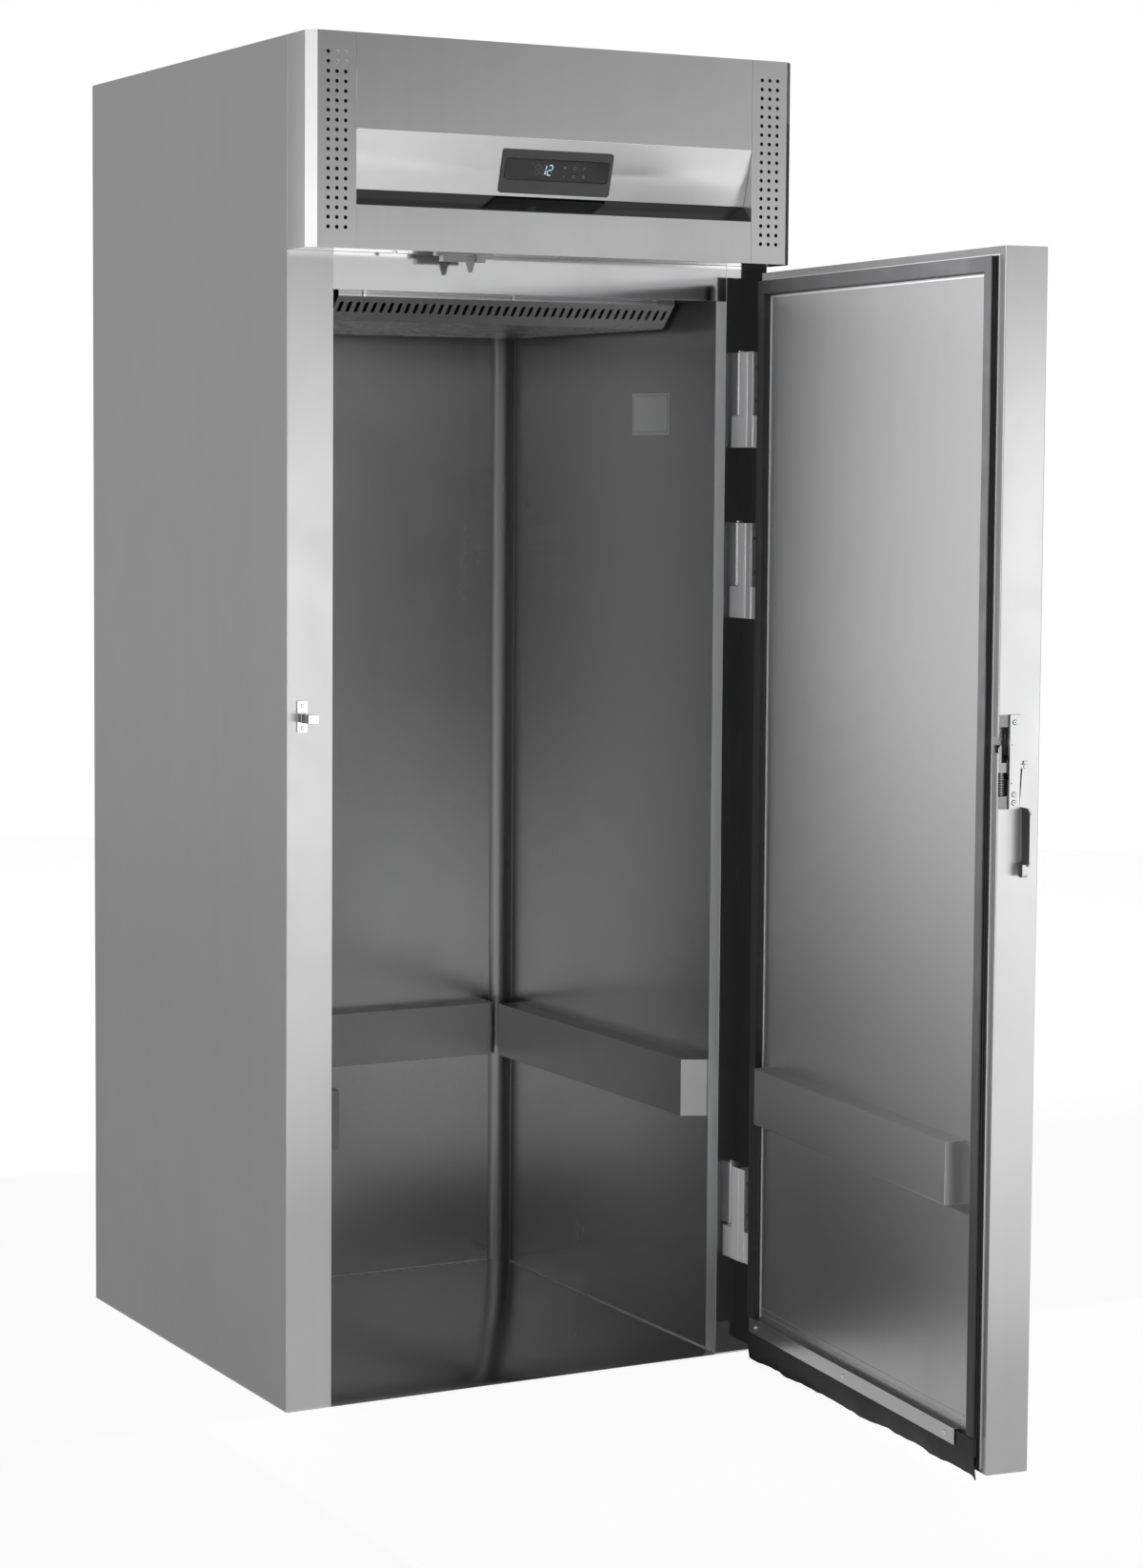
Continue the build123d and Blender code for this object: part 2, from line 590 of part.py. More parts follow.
# Machine compartment on the roof
CONDENSER_FAN_X, CONDENSER_FAN_Y, CONDENSER_FAN_Z = 130, -330, 2040
condenser_fan_plane = Plane(
    origin=(CONDENSER_FAN_X, CONDENSER_FAN_Y, CONDENSER_FAN_Z), x_dir=(1, 0, 0), z_dir=(0, 1, 0)
)
with BuildPart() as condenser_fan_shroud:
    block((-60, 320), (CONDENSER_FAN_Y, CONDENSER_FAN_Y + 2), (ROOF_TOP, 2155))
    rod(
        (CONDENSER_FAN_X, CONDENSER_FAN_Y - 1, CONDENSER_FAN_Z),
        (CONDENSER_FAN_X, CONDENSER_FAN_Y + 3, CONDENSER_FAN_Z),
        98,
        mode=Mode.SUBTRACT,
    )
    fan_frame(condenser_fan_plane, 102, 98, 30, 27, 32, 36)
condenser_fan_shroud.part.label = "condenser_fan_shroud"
save(condenser_fan_shroud.part, "condenser_fan_shroud")

with BuildPart() as condenser_fan_rotor:
    fan_rotor(condenser_fan_plane, 5, 28, 18, 92, 5, 26)
condenser_fan_rotor.part.label = "condenser_fan_rotor"
save(condenser_fan_rotor.part, "condenser_fan_rotor")

COMPRESSOR_X, COMPRESSOR_Y, COMPRESSOR_RADIUS = -210, 120, 80
with BuildPart() as compressor:
    pot_foot = ROOF_TOP + 12
    base_x, base_y = (COMPRESSOR_X - 95, COMPRESSOR_X + 95), (COMPRESSOR_Y - 70, COMPRESSOR_Y + 70)
    block(base_x, base_y, (pot_foot, pot_foot + 4))
    with BuildSketch(Plane.XY.offset(ROOF_TOP)):
        with Locations((COMPRESSOR_X, COMPRESSOR_Y)):
            with GridLocations(160, 110, 2, 2):
                Circle(11)
    extrude(amount=pot_foot - ROOF_TOP)
    with BuildSketch(Plane.XY.offset(pot_foot + 4)):
        with Locations((COMPRESSOR_X, COMPRESSOR_Y)):
            Circle(COMPRESSOR_RADIUS)
    extrude(amount=150)
    fillet(compressor.faces().sort_by(Axis.Z)[-1].edges(), 45)
compressor.part.label = "compressor"
save(compressor.part, "compressor")

PIPE_BEND = 14
inlet_tail = (-60, -360, 1950 + 5 * CONDENSER_PITCH)
discharge_route = [
    (COMPRESSOR_X + COMPRESSOR_RADIUS, COMPRESSOR_Y, 2030), (-100, COMPRESSOR_Y, 2030),
    (-100, -360, 2030), (-100, -360, inlet_tail[2]), inlet_tail,
]
(liquid_x, liquid_y), (suction_x, suction_y) = ROOF_PIPES
liquid_route = [
    (-60, -360, 1950), (-115, -360, 1950), (-115, liquid_y, 1950), (liquid_x, liquid_y, 1950),
    (liquid_x, liquid_y, 1815), (195, liquid_y, 1815),
]
suction_route = [
    (195, suction_y, 1815), (suction_x, suction_y, 1815), (suction_x, suction_y, 1990),
    (suction_x, 265, 1990), (COMPRESSOR_X, 265, 1990), (COMPRESSOR_X, COMPRESSOR_Y + COMPRESSOR_RADIUS, 1990),
]
with BuildPart() as refrigerant_pipes:
    for route in (discharge_route, liquid_route, suction_route):
        with BuildLine() as pipe_line:
            FilletPolyline(*route, radius=PIPE_BEND)
        first_run = Vector(*route[1]) - Vector(*route[0])
        with BuildSketch(Plane(origin=route[0], z_dir=first_run)) as pipe_section:
            Circle(PIPE_RADIUS)
        sweep(pipe_section.sketch, path=pipe_line.line)
refrigerant_pipes.part.label = "refrigerant_pipes"
save(refrigerant_pipes.part, "refrigerant_pipes")

# Mains inlet: a socket with three blades, let into the back skin
with BuildPart() as mains_inlet:
    inlet_x = (INLET_X - INLET_WIDTH / 2 + 0.3, INLET_X + INLET_WIDTH / 2 - 0.3)
    inlet_z = (INLET_Z - INLET_HEIGHT / 2 + 0.3, INLET_Z + INLET_HEIGHT / 2 - 0.3)
    block(inlet_x, (back - 26, back), inlet_z)
    block((INLET_X - 19, INLET_X + 19), (back, back + 2), (INLET_Z - 15, INLET_Z + 15))
    socket_x, socket_z = (INLET_X - 11, INLET_X + 11), (INLET_Z - 7.5, INLET_Z + 7.5)
    block(socket_x, (back - 17, back + 3), socket_z, mode=Mode.SUBTRACT)
    for blade_x, blade_z in ((-7, -2), (0, 2), (7, -2)):
        blade_span = (INLET_X + blade_x - 1, INLET_X + blade_x + 1)
        block(blade_span, (back - 17, back - 2), (INLET_Z + blade_z - 2.5, INLET_Z + blade_z + 2.5))
mains_inlet.part.label = "mains_inlet"
save(mains_inlet.part, "mains_inlet")

# Strike on the left jamb: plate, post and a hook that reaches into the door's latch slot
def from_left(distance):
    """X of a point given from the cabinet's left side."""
    return left + distance


def ahead(distance):
    """Y of a point given forward of the cabinet's front."""
    return front - distance


HOOK_Z = (1117, 1131)
with BuildPart() as strike:
    block((from_left(17.4), from_left(35.3)), (ahead(2.5), ahead(0)), (1101, 1152))
    block((from_left(24), from_left(33)), (ahead(31), ahead(2.5)), HOOK_Z)
    block((from_left(33), from_left(42)), (ahead(31), ahead(21.2)), HOOK_Z)
    plate_corners = strike.edges().filter_by(Axis.Y).group_by(Axis.Y)[-1]
    fillet(plate_corners.filter_by(lambda edge: edge.center().Y > ahead(2.5)), 2)
strike.part.label = "strike"
save(strike.part, "strike")

# Hinges: the frame's leaf has a base plate, a web and the lower knuckle; the door's leaf has the upper one
HINGE_FEET = (160, 1270, 1560)
HINGE_TALL = 162
LOWER_KNUCKLE = 54
KNUCKLE_GAP = 0.5
PIN_RADIUS = 5
BARREL_RADIUS = 9
with BuildPart() as frame_hinge_leaves:
    for foot in HINGE_FEET:
        tall = (foot, foot + HINGE_TALL)
        block((from_left(851), from_left(886)), (ahead(3), ahead(0)), tall)
        block((from_left(851.5), from_left(855.5)), (ahead(20), ahead(3)), tall)
        block((from_left(853), from_left(883)), (hinge_y, ahead(3)), (foot, foot + LOWER_KNUCKLE))
        rod((hinge_x, hinge_y, foot), (hinge_x, hinge_y, foot + LOWER_KNUCKLE), BARREL_RADIUS)
        pin_seat = [(hinge_x, hinge_y, level) for level in (foot + 6, foot + LOWER_KNUCKLE + 1)]
        rod(*pin_seat, PIN_RADIUS, mode=Mode.SUBTRACT)
frame_hinge_leaves.part.label = "frame_hinge_leaves"
save(frame_hinge_leaves.part, "frame_hinge_leaves")

with BuildPart() as hinge_pins:
    for foot in HINGE_FEET:
        crown = foot + HINGE_TALL + KNUCKLE_GAP
        rod((hinge_x, hinge_y, foot + 6), (hinge_x, hinge_y, crown), PIN_RADIUS)
        rod((hinge_x, hinge_y, crown), (hinge_x, hinge_y, crown + 3), PIN_RADIUS + 3)
    fillet(hinge_pins.faces().filter_by(lambda f: f.normal_at().Z > 0.9 and f.area > 60).edges(), 1)
hinge_pins.part.label = "hinge_pins"
save(hinge_pins.part, "hinge_pins")

with BuildPart() as door_hinge_leaves:
    for foot in HINGE_FEET:
        knuckle = (foot + LOWER_KNUCKLE + KNUCKLE_GAP, foot + HINGE_TALL)
        block((hinge_side_x, hinge_side_x + 3), (hinge_y - 26, hinge_y + 26), (foot, foot + HINGE_TALL))
        block((hinge_side_x + 3, hinge_x), (hinge_y - 8, hinge_y + 8), knuckle)
        rod((hinge_x, hinge_y, knuckle[0]), (hinge_x, hinge_y, knuckle[1]), BARREL_RADIUS)
        bore_ends = [(hinge_x, hinge_y, level) for level in (knuckle[0] - 1, knuckle[1] + 1)]
        rod(*bore_ends, PIN_RADIUS + PIN_FIT, mode=Mode.SUBTRACT)
door_hinge_leaves.part.label = "door_hinge_leaves"
save(door_hinge_leaves.part, "door_hinge_leaves", on_door=True)

# Door switch under the soffit: housing with end lugs, and a paddle that the closing door folds back
SWITCH_X = (from_left(247), from_left(324))
SWITCH_LUGS_X = (from_left(236), from_left(337))
PADDLE_MIDDLE, PADDLE_HALF, PADDLE_TIP_HALF = from_left(299.5), 8, 3.5
PADDLE_PIVOT_Y, PADDLE_PIVOT_Z = ahead(47), 1858.5
PADDLE_REACH = 22.7
PADDLE_PIN, PADDLE_BOSS = 1.5, 3.2
paddle_x = (PADDLE_MIDDLE - PADDLE_HALF, PADDLE_MIDDLE + PADDLE_HALF)


def along_paddle_pin(low, high):
    """Two points on the paddle's pin at two places in X."""
    return [(x, PADDLE_PIVOT_Y, PADDLE_PIVOT_Z) for x in (low, high)]


with BuildPart() as switch_housing:
    housing_y = (PADDLE_PIVOT_Y - 7.5, PADDLE_PIVOT_Y + 7.5)
    block(SWITCH_X, housing_y, (1852, HEADER_BOTTOM))
    fillet(switch_housing.edges().filter_by(Axis.Z), 2)
    block(SWITCH_LUGS_X, (PADDLE_PIVOT_Y - 6, PADDLE_PIVOT_Y + 6), (1860.5, HEADER_BOTTOM))
    slot_span = (paddle_x[0] - 0.6, paddle_x[1] + 0.6)
    slot_rise = (1851, HEADER_BOTTOM - 1.2)
    block(slot_span, (housing_y[0] - 1, housing_y[1] + 1), slot_rise, mode=Mode.SUBTRACT)
    rod(*along_paddle_pin(slot_span[0] - 3, slot_span[1] + 3), PADDLE_PIN)
switch_housing.part.label = "switch_housing"
save(switch_housing.part, "switch_housing")

with BuildPart() as switch_paddle:
    rod(*along_paddle_pin(*paddle_x), PADDLE_BOSS)
    with BuildSketch(Plane.XZ.offset(-PADDLE_PIVOT_Y - 1.2)):
        with BuildLine():
            tip_z = PADDLE_PIVOT_Z - PADDLE_REACH
            Polyline(
                (paddle_x[0], PADDLE_PIVOT_Z), (paddle_x[0], PADDLE_PIVOT_Z - 7),
                (PADDLE_MIDDLE - PADDLE_TIP_HALF, tip_z), (PADDLE_MIDDLE + PADDLE_TIP_HALF, tip_z),
                (paddle_x[1], PADDLE_PIVOT_Z - 7), (paddle_x[1], PADDLE_PIVOT_Z), close=True,
            )
        make_face()
    extrude(amount=2.4)
    rod(*along_paddle_pin(paddle_x[0] - 1, paddle_x[1] + 1), PADDLE_PIN + PIN_FIT, mode=Mode.SUBTRACT)
switch_paddle.part.label = "switch_paddle"
save(switch_paddle.part, "switch_paddle")

# Screws of the cabinet: air duct, strike, hinges and soffit
with BuildPart() as cabinet_screws:
    for screw_x in (from_left(176), from_left(449), from_left(722)):
        screw((screw_x, DUCT_FRONT, 1802.5), (0, -1, 0), head=3.6, grip=SHEET)
    for screw_z in (1144, 1108):
        screw((from_left(26.7), ahead(2.5), screw_z), (0, -1, 0), head=3.6, grip=2.5)
    for foot in HINGE_FEET:
        for rise in (78, 136):
            screw((from_left(870), ahead(3), foot + rise), (0, -1, 0), grip=3)
    screw((from_left(172), ahead(33), HEADER_BOTTOM), (0, 0, -1), grip=SHEET)
cabinet_screws.part.label = "cabinet_screws"
save(cabinet_screws.part, "cabinet_screws")


# Door, drawn closed
def proud(height):
    """X of a point standing out of the door's free edge, closed."""
    return edge_x - height


def outward(distance):
    """Y of a point given from the door's inner face towards its outer face, closed."""
    return inner_y - distance


RETURN_FLANGE = 26
POCKET_Z = (1029, 1168)
POCKET_DEPTH, POCKET_WIDTH = 12, 36
NOTCH_Z = (1112, 1136)
door_z = (DOOR_BOTTOM, DOOR_TOP)
pocket = ((proud(1), proud(-POCKET_DEPTH)), (outward(POCKET_WIDTH), outward(SHEET)), POCKET_Z)

with BuildPart() as door_outer_skin:
    block((edge_x, hinge_side_x), (outer_y, inner_y), door_z)
    fillet(door_outer_skin.edges().filter_by(Axis.Z), 2)
    block(
        (edge_x + SHEET, hinge_side_x - SHEET),
        (outer_y + SHEET, inner_y - SHEET),
        (DOOR_BOTTOM + SHEET, DOOR_TOP - SHEET),
        mode=Mode.SUBTRACT,
    )
    block(
        (edge_x + RETURN_FLANGE, hinge_side_x - RETURN_FLANGE),
        (inner_y - 2 * SHEET, inner_y + 1),
        (DOOR_BOTTOM + RETURN_FLANGE, DOOR_TOP - RETURN_FLANGE),
        mode=Mode.SUBTRACT,
    )
    block(*pocket, mode=Mode.SUBTRACT)
    notch_x, notch_y = (proud(1), proud(-POCKET_DEPTH)), (outward(2), outward(-1))
    block(notch_x, notch_y, NOTCH_Z, mode=Mode.SUBTRACT)
door_outer_skin.part.label = "door_outer_skin"
save(door_outer_skin.part, "door_outer_skin", on_door=True)

with BuildPart() as door_foam:
    block(
        (edge_x + SHEET, hinge_side_x - SHEET),
        (outer_y + SHEET, inner_y - SHEET),
        (DOOR_BOTTOM + SHEET, DOOR_TOP - SHEET),
    )
    block(
        (edge_x + RETURN_FLANGE, hinge_side_x - RETURN_FLANGE),
        (inner_y - SHEET, inner_y),
        (DOOR_BOTTOM + RETURN_FLANGE, DOOR_TOP - RETURN_FLANGE),
    )
    block(*pocket, mode=Mode.SUBTRACT)
door_foam.part.label = "door_foam"
save(door_foam.part, "door_foam", on_door=True)

PAN = 2
PAN_FREE_INSET, PAN_HINGE_INSET, PAN_TOP_INSET = 18, 13, 14
pan_x = (edge_x + PAN_FREE_INSET, hinge_side_x - PAN_HINGE_INSET)
pan_z = (DOOR_BOTTOM + 4, DOOR_TOP - PAN_TOP_INSET)
with BuildPart() as door_inner_pan:
    block(pan_x, (inner_y, inner_y + PAN), pan_z)
door_inner_pan.part.label = "door_inner_pan"
save(door_inner_pan.part, "door_inner_pan", on_door=True)

# Gasket on three sides; under the rubber sweep its two legs go on at a lower height
GASKET_WIDTH, GASKET_PROUD, GASKET_LOW = 24, 13.5, 9.3
TAIL_PROUD, TAIL_TOP = 5.6, 58
SWEEP_TOP = 84
with BuildPart() as door_gasket:
    gasket_y = (inner_y + PAN, inner_y + GASKET_PROUD)
    block(pan_x, gasket_y, (SWEEP_TOP + 2.4, pan_z[1]))
    inside = (pan_x[0] + GASKET_WIDTH, pan_x[1] - GASKET_WIDTH)
    opening_z = (SWEEP_TOP - 20, pan_z[1] - GASKET_WIDTH)
    block(inside, (inner_y, inner_y + 20), opening_z, mode=Mode.SUBTRACT)
    top_rims = door_gasket.edges().filter_by(Plane.XZ).group_by(Axis.Y)[-1].filter_by(Axis.Z)
    fillet(top_rims, 2.5)
    for low, high in ((pan_x[0], inside[0]), (inside[1], pan_x[1])):
        block((low, high), (inner_y + PAN, inner_y + GASKET_LOW), (TAIL_TOP, SWEEP_TOP + 2.4))
        block((low, high), (inner_y + PAN, inner_y + TAIL_PROUD), (pan_z[0] + 2, TAIL_TOP))
door_gasket.part.label = "door_gasket"
save(door_gasket.part, "door_gasket", on_door=True)

with BuildPart() as door_bumper_rail:
    door_rail_x = (from_left(102), from_left(760))
    door_rail_z = (430, 526)
    block(door_rail_x, (inner_y + PAN, inner_y + RAIL_PROUD), door_rail_z)
    fillet(door_bumper_rail.edges().filter_by(Axis.X).group_by(Axis.Y)[-1], 3)
    block(
        (door_rail_x[0] + RAIL_SHEET, door_rail_x[1] - RAIL_SHEET),
        (inner_y + PAN - 1, inner_y + RAIL_PROUD - RAIL_SHEET),
        (door_rail_z[0] + RAIL_SHEET, door_rail_z[1] - RAIL_SHEET),
        mode=Mode.SUBTRACT,
    )
door_bumper_rail.part.label = "door_bumper_rail"
save(door_bumper_rail.part, "door_bumper_rail", on_door=True)

# Rubber sweep: flat under its retainer, waving more and more towards its free lower edge
SWEEP_THICKNESS = 2
SWEEP_LEVEL = 9.6
sweep_x = (from_left(54), from_left(836))
SWEEP_COLUMNS, SWEEP_ROWS = 40, 7


def sweep_wave(along):
    """How far the free edge waves; along runs from 0 at the free end to 1 at the hinge end."""
    return 1.8 * sin(2 * pi * (2.3 * along + 0.1)) + 1.3 * sin(2 * pi * (6.1 * along + 0.35))


def sweep_foot(along):
    """Height of the free edge above the floor, lowest at the hinge end, with small ruffles."""
    ruffle = 1.1 * sin(2 * pi * (3.4 * along + 0.15)) + 0.7 * sin(2 * pi * (7.7 * along + 0.4))
    return 27 - 14.5 * along ** 1.3 + ruffle


sweep_points = []
for column in range(SWEEP_COLUMNS):
    along = column / (SWEEP_COLUMNS - 1)
    column_points = []
    for row in range(SWEEP_ROWS):
        down = row / (SWEEP_ROWS - 1)
        height = SWEEP_TOP + down * (sweep_foot(along) - SWEEP_TOP)
        slack = max(0, down - 0.4) / 0.6
        drift = sweep_wave(along) * slack ** 1.5 - 5 * slack ** 2
        x = sweep_x[0] + along * (sweep_x[1] - sweep_x[0])
        column_points.append(Vector(x, inner_y + SWEEP_LEVEL + drift, height))
    sweep_points.append(column_points)
with BuildPart() as door_sweep:
    sweep_face = Face.make_surface_from_array_of_points(sweep_points)
    thicken(sweep_face, amount=SWEEP_THICKNESS)
door_sweep.part.label = "door_sweep"
save(door_sweep.part, "door_sweep", on_door=True)

RETAINER_FACE = 13.1
with BuildPart() as sweep_retainer:
    retainer_x = (from_left(110), from_left(826))
    block(retainer_x, (inner_y + RETAINER_FACE - SHEET, inner_y + RETAINER_FACE), (61, SWEEP_TOP + 2))
    lip_z = (SWEEP_TOP + 0.8, SWEEP_TOP + 2)
    block((retainer_x[0], inside[1]), (inner_y + PAN, inner_y + RETAINER_FACE), lip_z)
sweep_retainer.part.label = "sweep_retainer"
save(sweep_retainer.part, "sweep_retainer", on_door=True)

# Latch: case let into the free edge, sprung catch with its rod, and the spring on the rod
ROD_DEPTH, ROD_OUT = 5.6, 9
ROD_RADIUS = 2
CATCH_TRAVEL = 8
PIVOT_OUT, PIVOT_Z = 46.5, 1091.6
ARM = 24
ARM_PIN = 2
rod_x, rod_y = proud(-ROD_DEPTH), outward(ROD_OUT)
arm_y = outward(PIVOT_OUT - ARM)
with BuildPart() as latch_case:
    block((proud(0), proud(-POCKET_DEPTH)), (outward(POCKET_WIDTH), outward(SHEET)), POCKET_Z)
    block((proud(1), proud(-10.8)), (outward(17.5), outward(0)), (1048, 1150), mode=Mode.SUBTRACT)
    block((proud(1), proud(-10.8)), (outward(34.8), outward(17)), (1072, 1108), mode=Mode.SUBTRACT)
    rod_bore = [(rod_x, rod_y, level) for level in (POCKET_Z[0] - 1, 1049)]
    rod(*rod_bore, ROD_RADIUS + PIN_FIT, mode=Mode.SUBTRACT)
latch_case.part.label = "latch_case"
save(latch_case.part, "latch_case", on_door=True)

with BuildPart() as latch_catch:
    catch_x = (proud(-1.5), proud(-10.3))
    block(catch_x, (outward(6.8), outward(1.6)), (1090, 1123))
    nose_rim = latch_catch.edges().filter_by(Axis.X).group_by(Axis.Z)[-1].sort_by(Axis.Y)[-1]
    chamfer(nose_rim, 4.4)
    block(catch_x, (outward(17), outward(1.6)), (1083, 1097))
    block(catch_x, (outward(28), outward(17)), (1083, 1101))
    slot_z = (PIVOT_Z - ARM_PIN - 0.45, PIVOT_Z + ARM_PIN + 0.45)
    block((proud(0), proud(-12)), (outward(29), outward(19.5)), slot_z, mode=Mode.SUBTRACT)
    rod((rod_x, rod_y, 1084), (rod_x, rod_y, 1038), ROD_RADIUS)
latch_catch.part.label = "latch_catch"
save(latch_catch.part, "latch_catch", on_door=True)

SPRING_RADIUS, SPRING_WIRE, SPRING_TURNS = 4.2, 0.6, 9
SPRING_LOW, SPRING_HIGH = 1048.4, 1082.6
with BuildPart() as latch_spring:
    coil_height = SPRING_HIGH - SPRING_LOW - 2 * SPRING_WIRE
    spring_pitch = coil_height / SPRING_TURNS
    with BuildLine() as spring_line:
        spring_foot = (rod_x, rod_y, SPRING_LOW + SPRING_WIRE)
        Helix(spring_pitch, coil_height, SPRING_RADIUS, center=spring_foot)
    with BuildSketch(Plane(origin=spring_line.line @ 0, z_dir=spring_line.line % 0)) as wire_section:
        Circle(SPRING_WIRE)
    sweep(wire_section.sketch, path=spring_line.line)
TURN_STEPS = 60
step_count = TURN_STEPS * SPRING_TURNS
spring_steps = [spring_line.line @ (step / step_count) for step in range(step_count + 1)]
turn_starts = range(0, TURN_STEPS * (SPRING_TURNS - 1))
least_gap = min(
    (spring_steps[start + TURN_STEPS] - spring_steps[start]).length - 2 * SPRING_WIRE for start in turn_starts
)
print(f"latch spring: least gap between turns {least_gap:.2f} mm")
latch_spring.part.label = "latch_spring"
save(latch_spring.part, "latch_spring", on_door=True)

COVER_LOW, COVER_HIGH = 2.7, 3.9
LATCH_SCREWS_Z = (1157, 1050.6, 1038.6)
LATCH_SCREW_OUT = 25.5
cover_plane = Plane(origin=(proud(COVER_LOW), outward(0), 0), x_dir=(0, -1, 0), z_dir=(-1, 0, 0))
with BuildPart() as latch_cover:
    with BuildSketch(cover_plane):
        with BuildLine():
            Polyline((18, POCKET_Z[0]), (35.4, POCKET_Z[0]), (35.4, 1104), (62, 1104), (62, 1140))
            RadiusArc((62, 1140), (34, POCKET_Z[1]), -30)
            Polyline((34, POCKET_Z[1]), (18, POCKET_Z[1]), (18, POCKET_Z[0]))
        make_face()
    extrude(amount=COVER_HIGH - COVER_LOW)
    skirt = (proud(COVER_HIGH), proud(0))
    block(skirt, (outward(19.2), outward(18)), POCKET_Z)
    block(skirt, (outward(35.4), outward(18)), (POCKET_Z[0], POCKET_Z[0] + SHEET))
    block(skirt, (outward(34), outward(18)), (POCKET_Z[1] - SHEET, POCKET_Z[1]))
    block(skirt, (outward(62), outward(62 - SHEET)), (1106, 1140))
    for screw_z in LATCH_SCREWS_Z:
        spacer_ends = [(proud(rise), outward(LATCH_SCREW_OUT), screw_z) for rise in (0, COVER_LOW + 0.5)]
        rod(*spacer_ends, 3.5)
    for dot_z in (1124, 1067):
        dot_ends = [(proud(rise), outward(21.5), dot_z) for rise in (COVER_LOW - 0.5, COVER_HIGH + 1)]
        rod(*dot_ends, 1, mode=Mode.SUBTRACT)
latch_cover.part.label = "latch_cover"
save(latch_cover.part, "latch_cover", on_door=True)

# Handle lever: plate on the door's edge, grip flange, foot, and an arm whose pin works the catch
LEVER_LOW, LEVER_HIGH = 0.35, 2.35
GRIP_OUT = 41
GRIP_SHEET = 2.5
lever_plane = Plane(origin=(proud(LEVER_LOW), outward(0), 0), x_dir=(0, -1, 0), z_dir=(-1, 0, 0))
with BuildPart() as handle_lever:
    with BuildSketch(lever_plane):
        with BuildLine():
            Polyline(
                (40, 1088), (36, 1031), (GRIP_OUT, 1031), (GRIP_OUT, 944), (47, 935), (56, 935),
                (62, 944), (62, 1072), (57, 1092), (50, 1099.5), (43, 1099.5), (40, 1088),
            )
        make_face()
        with Locations((PIVOT_OUT - ARM / 2, PIVOT_Z)):
            Rectangle(ARM, 5.2)
        with Locations((PIVOT_OUT - ARM, PIVOT_Z)):
            Circle(2.6)
        with Locations((PIVOT_OUT, PIVOT_Z)):
            Circle(PIVOT_RADIUS + PIN_FIT, mode=Mode.SUBTRACT)
    extrude(amount=LEVER_HIGH - LEVER_LOW)
    grip_y = (outward(GRIP_OUT + GRIP_SHEET), outward(GRIP_OUT))
    block((proud(25), proud(LEVER_LOW)), grip_y, (944, 1031))
    grip_corners = handle_lever.edges().filter_by(Axis.Y).group_by(Axis.X)[0]
    fillet(grip_corners, 11)
    block((proud(18), proud(5)), (outward(GRIP_OUT + GRIP_SHEET), outward(34)), (929, 948))
    fillet(handle_lever.edges().filter_by(Axis.Y).filter_by(lambda e: e.center().Z < 930), 4)
    rod((proud(LEVER_HIGH - 0.5), arm_y, PIVOT_Z), (proud(-7), arm_y, PIVOT_Z), ARM_PIN)
handle_lever.part.label = "handle_lever"
save(handle_lever.part, "handle_lever", on_door=True)

with BuildPart() as handle_pivot:
    for low, high, radius in ((-8, 2.8, PIVOT_RADIUS), (2.7, 3.5, PIVOT_RADIUS + 1.4)):
        rod(*[(proud(rise), outward(PIVOT_OUT), PIVOT_Z) for rise in (low, high)], radius)
handle_pivot.part.label = "handle_pivot"
save(handle_pivot.part, "handle_pivot", on_door=True)

with BuildPart() as door_screws:
    for screw_x in (from_left(138), from_left(475), from_left(801)):
        screw((screw_x, inner_y + RETAINER_FACE, 73), (0, 1, 0), grip=RETAINER_FACE + 8)
    for screw_z in LATCH_SCREWS_Z:
        seat = (proud(COVER_HIGH), outward(LATCH_SCREW_OUT), screw_z)
        screw(seat, (-1, 0, 0), head=3.3, height=1.6, grip=9)
door_screws.part.label = "door_screws"
save(door_screws.part, "door_screws", on_door=True)
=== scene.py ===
# %% [markdown]
# # A roll-in refrigerator, dressed for its photograph
#
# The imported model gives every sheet, hinge and rail its size and place. This script leaves those
# alone and adds what a camera sees: softened edges, brushed and polished steel, ribbed rubber,
# a lit display, plain studio light and a camera at the angle of the photograph.

import json
from math import cos, pi, radians, sin

import bmesh
import bpy
import numpy as np
from mathutils import Matrix, Vector


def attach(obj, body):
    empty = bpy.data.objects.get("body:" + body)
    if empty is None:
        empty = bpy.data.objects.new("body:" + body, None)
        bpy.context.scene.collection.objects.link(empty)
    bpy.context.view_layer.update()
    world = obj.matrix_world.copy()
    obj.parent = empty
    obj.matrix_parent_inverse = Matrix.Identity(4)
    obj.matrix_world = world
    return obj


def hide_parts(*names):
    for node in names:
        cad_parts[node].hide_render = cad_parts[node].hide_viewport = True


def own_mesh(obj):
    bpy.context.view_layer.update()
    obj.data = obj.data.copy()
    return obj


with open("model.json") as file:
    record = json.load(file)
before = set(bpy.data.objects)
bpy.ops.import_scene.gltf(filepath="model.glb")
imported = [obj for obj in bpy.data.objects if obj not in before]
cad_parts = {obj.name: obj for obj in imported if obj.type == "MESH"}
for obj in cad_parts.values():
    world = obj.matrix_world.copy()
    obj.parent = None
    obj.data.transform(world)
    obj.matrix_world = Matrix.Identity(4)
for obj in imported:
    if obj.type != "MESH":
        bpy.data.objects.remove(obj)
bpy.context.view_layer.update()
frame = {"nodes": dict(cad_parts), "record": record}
bodies = frame["record"]["behaviour"]["bodies"]
body_of_node = {node: body for body, nodes in bodies.items() for node in nodes}

# %% [markdown]
# ## The camera
#
# A photograph of a box fixes where the camera stood: its vertical edges lean by the camera's
# tilt and its level edges run together by the turn. The picture's middle isn't on the optical
# axis, so a small shift moves the frame and leaves the perspective as it is.

